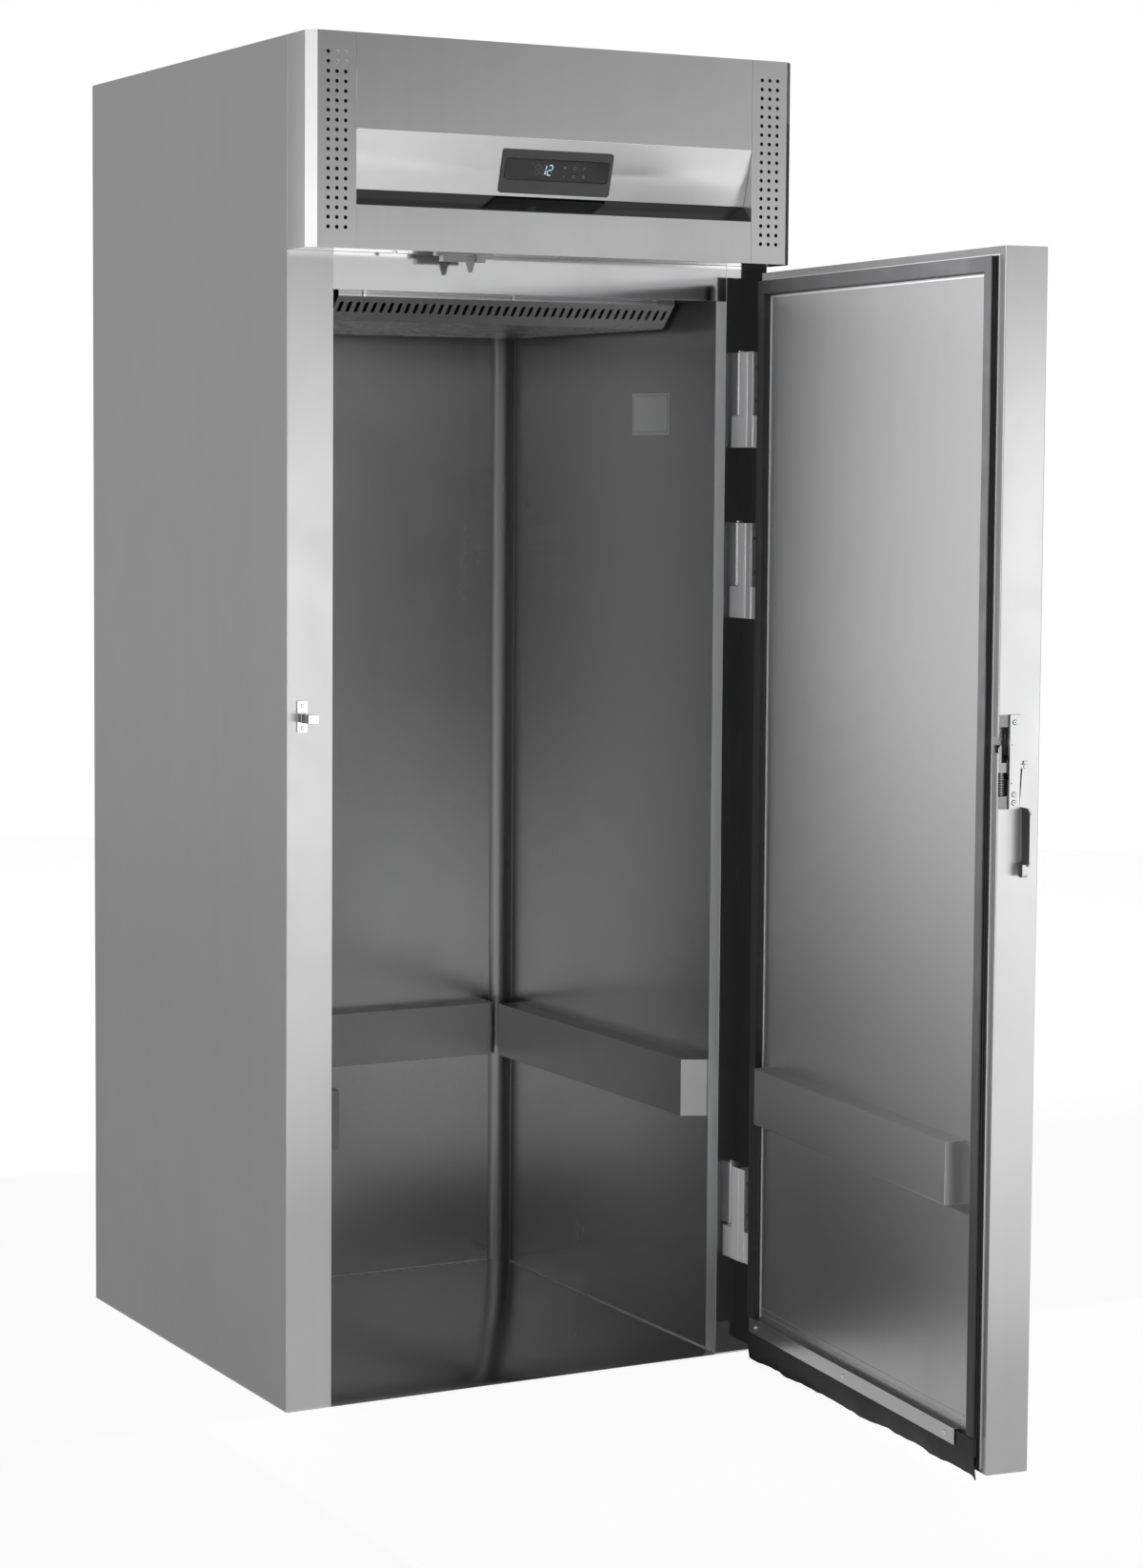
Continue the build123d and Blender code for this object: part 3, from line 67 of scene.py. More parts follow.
# %% Camera
CAMERA_PLACE = (-2.6592, -5.3553, 1.5304)
CAMERA_TURN, CAMERA_TILT, CAMERA_ROLL = radians(27.7751), radians(4.1879), radians(0.3247)
CAMERA_LENS, CAMERA_SENSOR = 78.115, 36
CAMERA_SHIFT = (0.0458, -0.0454)

forward = Vector((
    sin(CAMERA_TURN) * cos(CAMERA_TILT),
    cos(CAMERA_TURN) * cos(CAMERA_TILT),
    -sin(CAMERA_TILT),
))
level_right = Vector((cos(CAMERA_TURN), -sin(CAMERA_TURN), 0))
level_up = level_right.cross(forward)
camera_right = level_right * cos(CAMERA_ROLL) + level_up * sin(CAMERA_ROLL)
camera_up = level_up * cos(CAMERA_ROLL) - level_right * sin(CAMERA_ROLL)
camera = bpy.data.objects.new("camera", bpy.data.cameras.new("camera"))
camera.data.lens = CAMERA_LENS
camera.data.sensor_width = CAMERA_SENSOR
camera.data.shift_x, camera.data.shift_y = CAMERA_SHIFT
axes = Matrix((camera_right, camera_up, -forward)).transposed().to_4x4()
camera.matrix_world = Matrix.Translation(CAMERA_PLACE) @ axes
bpy.context.scene.collection.objects.link(camera)
bpy.context.scene.camera = camera
bpy.context.scene.view_settings.view_transform = "Standard"
print("camera at", CAMERA_PLACE, "lens", CAMERA_LENS)

# %% [markdown]
# ## Building blocks for finishes
#
# Every finish is a small tree of shader nodes. One helper adds a node, sets its options and
# feeds its inputs, so a tree reads from top to bottom like a recipe.


# %% Helpers for shader trees
def add(tree, kind, inputs=None, **options):
    """Adds a shader node; an input given as a socket is linked, and any other value is set."""
    made = tree.nodes.new("ShaderNode" + kind)
    for name, value in options.items():
        setattr(made, name, value)
    for name, value in (inputs or {}).items():
        if isinstance(value, bpy.types.NodeSocket):
            tree.links.new(value, made.inputs[name])
        else:
            made.inputs[name].default_value = value
    return made


def math(tree, operation, first, second=0.0):
    """One sum on two values, each a number or a socket."""
    return add(tree, "Math", {0: first, 1: second}, operation=operation).outputs[0]


def spread(tree, value, low, high, new_low, new_high):
    """Moves a value from one span to another and holds it inside the new one."""
    spans = {"Value": value, "From Min": low, "From Max": high, "To Min": new_low, "To Max": new_high}
    return add(tree, "MapRange", spans, clamp=True).outputs["Result"]


def cool_grey(tree, tone, blueness):
    """A grey whose blue is a little stronger than its red and green."""
    channels = {"Red": tone, "Green": tone, "Blue": math(tree, "MULTIPLY", tone, blueness)}
    return add(tree, "CombineColor", channels).outputs[0]


def new_material(name):
    """A material with nodes, its tree and its surface shader."""
    material = bpy.data.materials.new(name)
    material.use_nodes = True
    return material, material.node_tree, material.node_tree.nodes["Principled BSDF"]


def shader_group(name, inputs, outputs):
    """An empty node group with named sockets, and its inner ends."""
    group = bpy.data.node_groups.new(name, "ShaderNodeTree")
    for label, kind, default in inputs:
        socket = group.interface.new_socket(label, in_out="INPUT", socket_type="NodeSocket" + kind)
        if default is not None:
            socket.default_value = default
    for label, kind in outputs:
        group.interface.new_socket(label, in_out="OUTPUT", socket_type="NodeSocket" + kind)
    return group, group.nodes.new("NodeGroupInput").outputs, group.nodes.new("NodeGroupOutput").inputs


# %% [markdown]
# ## Effects that several finishes share
#
# Brushed steel is ground by a belt, which leaves fine parallel lines and broader bands. Noise
# stretched along one direction gives both. Hands and cloths leave soft smears, rims lose their
# grain where they are touched, and level surfaces collect dust. Each is one group, built once.

# %% Brushed lines
BANDS_PER_LINE = 0.07

brushed_lines, given, result = shader_group(
    "brushed lines",
    [("Coordinates", "Vector", None), ("Stretch", "Vector", (1, 1, 0.01)), ("Fineness", "Float", 900)],
    [("Lines", "Float"), ("Bands", "Float")],
)
along_grain = add(
    brushed_lines, "VectorMath", {0: given["Coordinates"], 1: given["Stretch"]}, operation="MULTIPLY"
).outputs[0]
line_noise = {"Vector": along_grain, "Scale": given["Fineness"], "Detail": 2.0}
brushed_lines.links.new(add(brushed_lines, "TexNoise", line_noise).outputs[0], result["Lines"])
band_scale = math(brushed_lines, "MULTIPLY", given["Fineness"], BANDS_PER_LINE)
band_noise = {"Vector": along_grain, "Scale": band_scale, "Detail": 3.0}
brushed_lines.links.new(add(brushed_lines, "TexNoise", band_noise).outputs[0], result["Bands"])
print("brushed lines:", len(brushed_lines.nodes), "nodes")

# %% Smears, rubbed rims and dust
CLOUD_SPAN, RIM_SPAN, LEVEL_SPAN, SPECK_SPAN = (0.42, 0.72), (0.995, 0.85), (0.6, 1.0), (0.45, 0.7)
SPECKS_PER_METRE, LEAST_DUST = 160.0, 0.2

smears, given, result = shader_group(
    "smears", [("Coordinates", "Vector", None), ("Size", "Float", 6.0)], [("Smears", "Float")]
)
cloud_noise = {"Vector": given["Coordinates"], "Scale": given["Size"], "Detail": 3.0, "Distortion": 1.2}
cloud = add(smears, "TexNoise", cloud_noise).outputs[0]
smears.links.new(spread(smears, cloud, *CLOUD_SPAN, 0.0, 1.0), result["Smears"])

# Lighter rims are rubbed wear; on the grip and the catch, lightened by half, they are a painted highlight.
rubbed_and_highlit_rims, given, result = shader_group("rubbed and highlit rims", [("Width", "Float", 0.002)], [("Rims", "Float")])
rounded = add(rubbed_and_highlit_rims, "Bevel", {"Radius": given["Width"]}, samples=4).outputs[0]
flat = add(rubbed_and_highlit_rims, "NewGeometry").outputs["Normal"]
agreement = add(rubbed_and_highlit_rims, "VectorMath", {0: rounded, 1: flat}, operation="DOT_PRODUCT").outputs["Value"]
rubbed_and_highlit_rims.links.new(spread(rubbed_and_highlit_rims, agreement, *RIM_SPAN, 0.0, 1.0), result["Rims"])

dust, given, result = shader_group(
    "dust", [("Coordinates", "Vector", None), ("Amount", "Float", 0.5)], [("Dust", "Float")]
)
upward = add(dust, "SeparateXYZ", {0: add(dust, "NewGeometry").outputs["Normal"]}).outputs["Z"]
speck_noise = {"Vector": given["Coordinates"], "Scale": SPECKS_PER_METRE, "Detail": 4.0}
specks = add(dust, "TexNoise", speck_noise).outputs[0]
level = spread(dust, upward, *LEVEL_SPAN, 0.0, 1.0)
speckled = spread(dust, specks, *SPECK_SPAN, LEAST_DUST, 1.0)
lying = math(dust, "MULTIPLY", level, speckled)
dust.links.new(math(dust, "MULTIPLY", lying, given["Amount"]), result["Dust"])
print("shared effects:", [group.name for group in bpy.data.node_groups])

# %% [markdown]
# ## Sheet-steel finishes
#
# Stainless steel has no pigment: its grey is its own reflectance, and the look is all in how
# rough it is and which way it was brushed. One recipe makes the family, and each member sets its
# grey, roughness and grain. A small share of plain scatter stands for the haze of satin sheet.

# %% Steel recipe
ALONG_HEIGHT, ALONG_WIDTH, ALONG_DEPTH, NO_GRAIN = (1, 1, 0.012), (0.012, 1, 1), (1, 0.012, 1), (1, 1, 1)
BAND_SPAN, BAND_TONES, BAND_ROUGHNESS = (0.3, 0.7), (-0.006, 0.006), (-0.006, 0.008)
SMEAR_SIZE, SMEAR_DARKENS, SMEAR_ROUGHENS = 5.0, 0.012, 0.03
RIM_WIDTH, DUST_LIGHTENS, GRAIN_DEPTH, STEEL_BLUENESS = 0.0015, 0.1, 0.0004, 1.01


def steel(
    name, grey, roughness, metallic=0.9, grain=ALONG_HEIGHT,
    fineness=700, relief=0.05, rim_wear_and_highlight=0.15, dusty=0.0, brushed=0.0,
):
    """Sheet steel with relief along its grain, bands and smears in its tone and roughness and
    lighter rims, rubbed wear on most parts and a painted highlight on the grip and the catch;
    `brushed` draws its glints out across the upright grain."""
    material, tree, surface = new_material(name)
    where = add(tree, "TexCoord").outputs["Object"]
    grinding = {"Coordinates": where, "Stretch": grain, "Fineness": fineness}
    lines = add(tree, "Group", grinding, node_tree=brushed_lines).outputs
    smear = add(tree, "Group", {"Coordinates": where, "Size": SMEAR_SIZE}, node_tree=smears).outputs["Smears"]
    rims = add(tree, "Group", {"Width": RIM_WIDTH}, node_tree=rubbed_and_highlit_rims).outputs["Rims"]
    tone = math(tree, "ADD", spread(tree, lines["Bands"], *BAND_SPAN, *BAND_TONES), grey)
    tone = math(tree, "ADD", tone, math(tree, "MULTIPLY", rims, rim_wear_and_highlight))
    tone = math(tree, "SUBTRACT", tone, math(tree, "MULTIPLY", smear, SMEAR_DARKENS))
    if dusty:
        settled = add(tree, "Group", {"Coordinates": where, "Amount": dusty}, node_tree=dust).outputs["Dust"]
        tone = math(tree, "ADD", tone, math(tree, "MULTIPLY", settled, DUST_LIGHTENS))
    tree.links.new(cool_grey(tree, tone, STEEL_BLUENESS), surface.inputs["Base Color"])
    rough = math(tree, "ADD", spread(tree, lines["Bands"], *BAND_SPAN, *BAND_ROUGHNESS), roughness)
    rough = math(tree, "ADD", rough, math(tree, "MULTIPLY", smear, SMEAR_ROUGHENS))
    tree.links.new(rough, surface.inputs["Roughness"])
    surface.inputs["Metallic"].default_value = metallic
    if brushed:
        surface.inputs["Anisotropic"].default_value = brushed
        round_z = add(tree, "Tangent", direction_type="RADIAL", axis="Z").outputs[0]
        tree.links.new(round_z, surface.inputs["Tangent"])
    bump = add(tree, "Bump", {"Strength": relief, "Distance": GRAIN_DEPTH, "Height": lines["Lines"]})
    tree.links.new(bump.outputs[0], surface.inputs["Normal"])
    material.diffuse_color = (grey, grey, grey, 1)
    return material


# %% Sheet steels
outer_steel = steel("outer steel, brushed upright", 0.56, 0.29, brushed=0.8)
inner_steel = steel("inner steel, satin", 0.47, 0.24, relief=0.02, rim_wear_and_highlight=0.08, brushed=0.5)
pan_steel = steel("door pan steel, satin", 0.54, 0.33, metallic=0.68, relief=0.02, rim_wear_and_highlight=0.08)
floor_steel = steel(
    "floor steel, rolled", 0.46, 0.13, metallic=0.95, grain=ALONG_DEPTH, relief=0.015, dusty=0.15
)
rail_steel = steel("bumper rail steel", 0.37, 0.3, grain=ALONG_DEPTH, relief=0.03)
polished_steel = steel("polished steel", 0.55, 0.09, metallic=1.0, grain=ALONG_WIDTH, relief=0.008, rim_wear_and_highlight=0.05)
mirror_steel = steel("mirror-polished jamb steel", 0.58, 0.05, metallic=1.0, relief=0.006, rim_wear_and_highlight=0.05)
# Painted light: the right jamb's side towards the room is the jamb's own steel sheet, drawn near-white and
# without metal so that it reads as lit. The floor's sealing bead takes the same white.
return_painted_light_and_seal_white = steel("jamb return steel, painted light", 0.98, 0.36, metallic=0.0, relief=0.02, rim_wear_and_highlight=0.05)
# Painted shade: the corner coves are the liner's steel drawn darker than the walls, for the shade in the
# room's corners.
cove_steel_painted_shade = steel("cove steel, painted shade", 0.3, 0.3, relief=0.0, rim_wear_and_highlight=0.0)
duct_steel = steel("air duct steel", 0.4, 0.26, relief=0.02, rim_wear_and_highlight=0.08)
door_rail_steel = steel("door rail steel", 0.5, 0.36, metallic=0.7, grain=ALONG_WIDTH, relief=0.03)
# Painted highlight: the pan's bead, its two creases and its hem are drawn pale and half without metal, so
# that they shine as bright lines under the lamp.
bead_painted_highlight = steel("pressed bead, painted highlight", 0.8, 0.3, metallic=0.5, relief=0.0, rim_wear_and_highlight=0.2)
hem_painted_highlight = steel("pan hem, painted highlight", 0.8, 0.3, metallic=0.62, relief=0.0, rim_wear_and_highlight=0.2)
print("sheet steels:", len(bpy.data.materials))

# %% Cast, turned and drawn metals
screw_steel = steel("screw steel", 0.6, 0.2, metallic=1.0, relief=0.0, rim_wear_and_highlight=0.2)
zinc = steel("die-cast zinc, chromed", 0.6, 0.16, metallic=1.0, relief=0.0, fineness=300, rim_wear_and_highlight=0.1)
satin_zinc = steel("die-cast zinc, satin", 0.5, 0.3, metallic=0.94, relief=0.0, fineness=300, rim_wear_and_highlight=0.12)
hinge_zinc = steel("hinge zinc, satin", 0.76, 0.38, metallic=0.88, relief=0.0, fineness=300, rim_wear_and_highlight=0.12)
# Painted shade: the latch case's faces towards the door's edge sit behind the cover's window and are drawn
# dark grey for that shade; their mottled relief is the as-cast surface.
cast_zinc_painted_shade = steel(
    "die-cast zinc, as cast, painted shade", 0.17, 0.2, metallic=1.0, grain=NO_GRAIN, fineness=260, relief=1.0, rim_wear_and_highlight=0.2
)
# Painted shade and painted highlight: the catch sits in the latch's window and is drawn dark grey for that
# shade, with its rims lightened by half for the bright outlines it shows.
catch_zinc_painted_shade_and_highlight = steel(
    "sprung catch, painted shade and highlight", 0.22, 0.24, metallic=1.0, grain=NO_GRAIN, fineness=200, relief=0.5, rim_wear_and_highlight=0.5
)
# Painted shade: the rest of the latch case, inside the pocket in the door's edge, is zinc drawn dark grey for
# the shade it lies in.
zinc_painted_shade = steel("die-cast zinc, painted shade", 0.16, 0.3, relief=0.0, fineness=300, rim_wear_and_highlight=0.25)
# Painted shade: the handle lever's side towards the door's inner side is the lever's steel drawn nearly
# black, as painted shade and a painted dark reflection; its rims, lightened by half, are a painted highlight.
grip_side_painted_shade = steel("grip side steel, painted shade", 0.13, 0.12, metallic=1.0, relief=0.02, rim_wear_and_highlight=0.5)
spring_steel = steel("spring wire", 0.5, 0.25, metallic=1.0, relief=0.0)
fin_metal = steel("coil fins", 0.62, 0.35, relief=0.0, dusty=0.3)
print("metals so far:", len(bpy.data.materials))

# %% [markdown]
# ## Finishes that aren't sheet steel
#
# Rubber is dark and dull with a soft sheen, foam is pale and pitted, and moulded plastic has a
# fine pebbled texture from its mould. One recipe makes them all: a colour with a faint cloud in
# it, and noise as relief, coarse for foam and nearly flat for a window.

# %% Moulded and painted finishes
MOULDED_SMEAR_SIZE, MOULDED_SMEAR_ROUGHENS = 14.0, 0.08
MOULDED_DUST, MOULDED_DUST_LIGHTENS, PEBBLE_DEPTH = 0.3, 0.04, 0.0005


def moulded(name, colour, roughness, relief=0.1, size=900.0, variation=0.02, metallic=0.0):
    """A moulded or painted surface: one colour with a faint cloud in it, and a fine pebbled relief."""
    material, tree, surface = new_material(name)
    where = add(tree, "TexCoord").outputs["Object"]
    pebbles = add(tree, "TexNoise", {"Vector": where, "Scale": size, "Detail": 2.0}).outputs[0]
    smudge = {"Coordinates": where, "Size": MOULDED_SMEAR_SIZE}
    film = {"Coordinates": where, "Amount": MOULDED_DUST}
    smear = add(tree, "Group", smudge, node_tree=smears).outputs["Smears"]
    settled = add(tree, "Group", film, node_tree=dust).outputs["Dust"]
    lighter = math(tree, "MULTIPLY", settled, MOULDED_DUST_LIGHTENS)
    shift = math(tree, "ADD", math(tree, "MULTIPLY", smear, variation), lighter)
    all_channels = add(tree, "CombineXYZ", {0: shift, 1: shift, 2: shift}).outputs[0]
    mixed = add(tree, "VectorMath", {0: colour, 1: all_channels}, operation="ADD").outputs[0]
    tree.links.new(mixed, surface.inputs["Base Color"])
    rough = math(tree, "ADD", math(tree, "MULTIPLY", smear, MOULDED_SMEAR_ROUGHENS), roughness)
    tree.links.new(rough, surface.inputs["Roughness"])
    surface.inputs["Metallic"].default_value = metallic
    bump = add(tree, "Bump", {"Strength": relief, "Distance": PEBBLE_DEPTH, "Height": pebbles})
    tree.links.new(bump.outputs[0], surface.inputs["Normal"])
    material.diffuse_color = (*colour, 1)
    return material


gasket_rubber = moulded("gasket rubber, grey face", (0.075, 0.075, 0.077), 0.5, relief=0.04)
gasket_wall_rubber = moulded("gasket rubber, black wall", (0.012, 0.012, 0.013), 0.42, relief=0.05)
sweep_rubber = moulded("sweep rubber", (0.006, 0.006, 0.0065), 0.62, relief=0.08, size=260.0, variation=0.006)
black_plastic = moulded("black moulded plastic", (0.02, 0.02, 0.021), 0.45)
switch_plastic = moulded("door switch plastic", (0.5, 0.5, 0.5), 0.4)
# Painted shade: this black is put on the dust screens behind the header's cheek holes, for the shade inside
# the machine compartment, and on the rings round the latch screws; the light flags are black too.
black_for_flags_and_painted_shade = moulded("black foam, flags and painted shade", (0.006, 0.006, 0.006), 0.9, relief=0.8, size=420.0, variation=0.0)
fan_plastic = moulded("fan blade plastic", (0.05, 0.05, 0.052), 0.35)
fascia_plastic = moulded("controller fascia plastic", (0.085, 0.086, 0.088), 0.38, relief=0.05)
gloss_black = moulded("gloss black strip", (0.006, 0.006, 0.007), 0.05, relief=0.0, variation=0.0)
window_plastic = moulded("display window", (0.035, 0.036, 0.038), 0.12, relief=0.0, variation=0.0)
window_frame_plastic = moulded("display frame", (0.006, 0.006, 0.006), 0.2, relief=0.0)
compressor_enamel = moulded("compressor enamel", (0.012, 0.012, 0.013), 0.28, relief=0.15, size=420.0)
foam = moulded("insulating foam", (0.72, 0.62, 0.38), 0.85, relief=0.6, size=420.0, variation=0.05)
copper = moulded("copper tube", (0.68, 0.33, 0.2), 0.3, relief=0.02, variation=-0.12, metallic=1.0)
label_foil = moulded("blank label foil", (0.2, 0.2, 0.2), 0.42, relief=0.02)
print("finishes so far:", len(bpy.data.materials))

# %% [markdown]
# ## Lit marks and galvanised sheet
#
# The display's lit bars shine by themselves, so their finish is black with an even glow. The
# unlit bars and the printed key marks glow faintly too, which is painted light, as they are no
# lamps. Galvanised sheet is coated in zinc that sets as crystals, and a cell pattern gives each
# crystal a grey and a roughness of its own.


# %% Lit marks
def glowing(name, colour, strength, unlit=0.01):
    """A mark, nearly black by itself, with an even glow; on unlit bars and printed marks the glow is painted
    light.
    """
    material, _, surface = new_material(name)
    surface.inputs["Base Color"].default_value = (unlit, unlit, unlit, 1)
    surface.inputs["Emission Color"].default_value = (*colour, 1)
    surface.inputs["Emission Strength"].default_value = strength
    return material


lit_segment = glowing("lit segment", (0.62, 0.86, 1.0), 1.1)
# Painted light: the unlit bars and the printed key marks glow faintly, though they are no lamps.
unlit_segment_painted_glow = glowing("unlit segment, painted glow", (0.5, 0.52, 0.55), 0.09)
printed_mark_painted_glow = glowing("printed key mark, painted glow", (0.6, 0.62, 0.65), 0.24)
print("lit marks:", [mark.name for mark in (lit_segment, unlit_segment_painted_glow, printed_mark_painted_glow)])

# %% Galvanised sheet
CRYSTALS_PER_METRE, CRYSTAL_GREYS, CRYSTAL_ROUGHNESS, ZINC_BLUENESS = 70.0, (0.38, 0.56), (0.34, 0.5), 1.03


def galvanised_sheet(name):
    """Zinc-coated sheet: each cell of a cell pattern gives one number, spread over greys and roughness."""
    material, tree, surface = new_material(name)
    where = add(tree, "TexCoord").outputs["Object"]
    crystals = add(tree, "TexVoronoi", {"Vector": where, "Scale": CRYSTALS_PER_METRE}).outputs["Color"]
    patch = add(tree, "SeparateColor", {0: crystals}).outputs[0]
    tone = spread(tree, patch, 0.0, 1.0, *CRYSTAL_GREYS)
    tree.links.new(cool_grey(tree, tone, ZINC_BLUENESS), surface.inputs["Base Color"])
    tree.links.new(spread(tree, patch, 0.0, 1.0, *CRYSTAL_ROUGHNESS), surface.inputs["Roughness"])
    surface.inputs["Metallic"].default_value = 0.9
    return material


galvanised = galvanised_sheet("galvanised steel")
print("finishes:", len(bpy.data.materials))

# %% [markdown]
# ## Sheet metal from the frame
#
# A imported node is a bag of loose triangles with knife-sharp edges. Real folded sheet has a small
# radius that catches the light as a thin line. A copy is joined up, its flat cuts are cleared
# away and a narrow bevel follows every real edge.

# %% Pieces and what they stand for
mm = 0.001


def link_mesh(name, mesh):
    """Puts a mesh into the scene as an object at the origin."""
    piece = bpy.data.objects.new(name, mesh)
    bpy.context.scene.collection.objects.link(piece)
    return piece


def finish_piece(piece, node, material, body):
    """Gives a piece its material and the body it rides on, and hides the node it stands for."""
    if material:
        piece.data.materials.clear()
        piece.data.materials.append(material)
    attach(piece, body)
    if node:
        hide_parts(node)
    return piece


# %% Joined and bevelled copies
FLAT, SHARP = radians(1), radians(35)
JOIN_WITHIN = 0.004


def soften(piece, edge, segments=2, sharp=SHARP):
    """Shades the piece smoothly between its sharp edges and rounds those by `edge` millimetres."""
    piece.data.shade_smooth()
    piece.data.set_sharp_from_angle(angle=sharp)
    if edge:
        bevel = piece.modifiers.new("rounded edges", "BEVEL")
        bevel.width = edge * mm
        bevel.segments = segments
        bevel.limit_method = "ANGLE"
        bevel.angle_limit = sharp
        bevel.use_clamp_overlap = False
        bevel.harden_normals = True
    return piece


def dressed(node, material, edge, sharp=SHARP):
    """A joined copy of a CAD node with its edges rounded, which stands for the node."""
    shell = bmesh.new()
    shell.from_mesh(frame["nodes"][node].data)
    bmesh.ops.remove_doubles(shell, verts=shell.verts, dist=JOIN_WITHIN * mm)
    bmesh.ops.dissolve_limit(shell, angle_limit=FLAT, verts=shell.verts, edges=shell.edges)
    mesh = bpy.data.meshes.new(node + "_skin")
    shell.to_mesh(mesh)
    shell.free()
    for attribute in [a for a in mesh.attributes if a.name == "custom_normal"]:
        mesh.attributes.remove(attribute)
    piece = soften(link_mesh(node + "_skin", mesh), edge, sharp=sharp)
    return finish_piece(piece, node, material, body_of_node[node])


# %% Each node's finish, and the radius of its edges in millimetres
SKINS = {
    "left_outer_skin": (outer_steel, 0.5),
    "right_outer_skin": (outer_steel, 0.5),
    "left_jamb": (outer_steel, 0.4),
    "right_jamb": (outer_steel, 0.4),
    "header_left_cheek": (outer_steel, 0.3),
    "header_right_cheek": (outer_steel, 0.3),
    "header_soffit": (polished_steel, 0.3),
    "header_front_panel": (outer_steel, 0.35),
    "lintel": (polished_steel, 0.5),
    "door_outer_skin": (outer_steel, 0.3),
    "air_duct_cover": (duct_steel, 0.2),
    "left_wall_bumper": (rail_steel, 0.5),
    "right_wall_bumper": (rail_steel, 0.5),
    "back_wall_bumper": (rail_steel, 0.5),
    "door_bumper_rail": (door_rail_steel, 0.4),
    "sweep_retainer": (inner_steel, 0.3),
    "floor_plate": (floor_steel, 0.0),
    "corner_coves": (cove_steel_painted_shade, 0.2),
    "strike": (zinc, 0.4),
    "frame_hinge_leaves": (hinge_zinc, 0.6),
    "hinge_pins": (zinc, 0.3),
    "door_hinge_leaves": (hinge_zinc, 0.6),
    "latch_case": (zinc_painted_shade, 0.25),
    "latch_cover": (outer_steel, 0.2),
    "latch_catch": (catch_zinc_painted_shade_and_highlight, 0.3),
    "latch_spring": (spring_steel, 0.0),
    "handle_lever": (outer_steel, 0.35),
    "handle_pivot": (satin_zinc, 0.2),
    "cabinet_screws": (screw_steel, 0.15),
    "door_screws": (screw_steel, 0.15),
    "header_pivot_pins": (screw_steel, 0.2),
    "back_outer_skin": (galvanised, 0.2),
    "mains_inlet": (black_plastic, 0.3),
    "switch_housing": (switch_plastic, 0.4),
    "switch_paddle": (switch_plastic, 0.3),
    "controller_fascia": (fascia_plastic, 0.5),
    "controller_display": (window_plastic, 0.0),
    "evaporator_fan_frame": (black_plastic, 0.3),
    "condenser_fan_shroud": (black_plastic, 0.3),
    "evaporator_fan_rotor": (fan_plastic, 0.2),
    "condenser_fan_rotor": (fan_plastic, 0.2),
    "compressor": (compressor_enamel, 1.0),
}
FOLD_ANGLE = {"header_front_panel": radians(12)}
skins = {
    node: dressed(node, material, edge, FOLD_ANGLE.get(node, SHARP))
    for node, (material, edge) in SKINS.items()
}
print("dressed nodes:", len(skins), "faces:", sum(len(skin.data.polygons) for skin in skins.values()))

# %% [markdown]
# ## Faces with a finish of their own
#
# One folded sheet can be polished on one side and satin on another: the right jamb mirrors the
# hinges on its front. Its side that faces the room is drawn near-white and without metal, as
# painted light. The handle lever's side towards the door's inner side and the latch case's faces
# towards the door's edge are drawn dark, as painted shade. Such faces are picked by the way they
# look, and their piece gets a second material.

# %% Faces picked by direction
ALIGNED = 0.95
DOOR_REST = radians(83.5)
TO_FRONT, TO_LEFT = (0, -1, 0), (-1, 0, 0)
DOOR_EDGE_OUT = (-cos(DOOR_REST), -sin(DOOR_REST), 0)
DOOR_INNER_OUT = (-sin(DOOR_REST), cos(DOOR_REST), 0)


def facing(piece, direction, material):
    """Gives the faces whose normal is within about 18 degrees of a direction another finish."""
    piece.data.materials.append(material)
    normals = np.empty(3 * len(piece.data.polygons))
    piece.data.polygons.foreach_get("normal", normals)
    chosen = normals.reshape(-1, 3) @ np.array(direction) > ALIGNED
    slots = np.empty(len(piece.data.polygons), dtype=np.int32)
    piece.data.polygons.foreach_get("material_index", slots)
    slots[chosen] = len(piece.data.materials) - 1
    piece.data.polygons.foreach_set("material_index", slots)
    print(piece.name, "has", int(chosen.sum()), "faces in", material.name)


facing(skins["right_jamb"], TO_FRONT, mirror_steel)
facing(skins["right_jamb"], TO_LEFT, return_painted_light_and_seal_white)
facing(skins["handle_lever"], DOOR_INNER_OUT, grip_side_painted_shade)
facing(skins["latch_case"], DOOR_EDGE_OUT, cast_zinc_painted_shade)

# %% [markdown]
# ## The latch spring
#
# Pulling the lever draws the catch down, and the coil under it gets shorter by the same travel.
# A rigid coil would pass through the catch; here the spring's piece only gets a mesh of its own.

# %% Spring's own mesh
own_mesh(skins["latch_spring"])


# %% [markdown]
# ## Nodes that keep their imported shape
#
# Flat sheets, foam cores, finned coils and pipes already look like the real pieces. They stay as
# they were packed, and only their finish is set.


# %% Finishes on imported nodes
def coat(material, *nodes):
    """Puts a finish on CAD nodes whose own shape already shows what the real piece is."""
    for node in nodes:
        slots = frame["nodes"][node].data.materials
        slots.clear()
        slots.append(material)
    print(material.name, "on", len(nodes), "nodes")


coat(inner_steel, "left_inner_wall", "right_inner_wall", "back_inner_wall", "ceiling_liner")
coat(foam, "left_wall_foam", "right_wall_foam", "back_wall_foam", "roof_foam", "door_foam")
coat(galvanised, "roof_panel")
coat(fin_metal, "evaporator_coil", "condenser_coil")
coat(copper, "refrigerant_pipes")
coat(gloss_black, "header_gloss_strip")
# Painted shade: the black screens behind the cheek holes stand for the shade inside the machine compartment.
coat(black_for_flags_and_painted_shade, "cheek_dust_screens")
coat(pan_steel, "door_inner_pan")

# %% [markdown]
# ## New surfaces
#
# The soft and moulded parts are grids of points: a profile carried along a path, or a height
# over two directions. The points are worked out as whole arrays, and the faces join neighbours.

# %% Grids of points made into pieces
WELD_WITHIN = 0.001


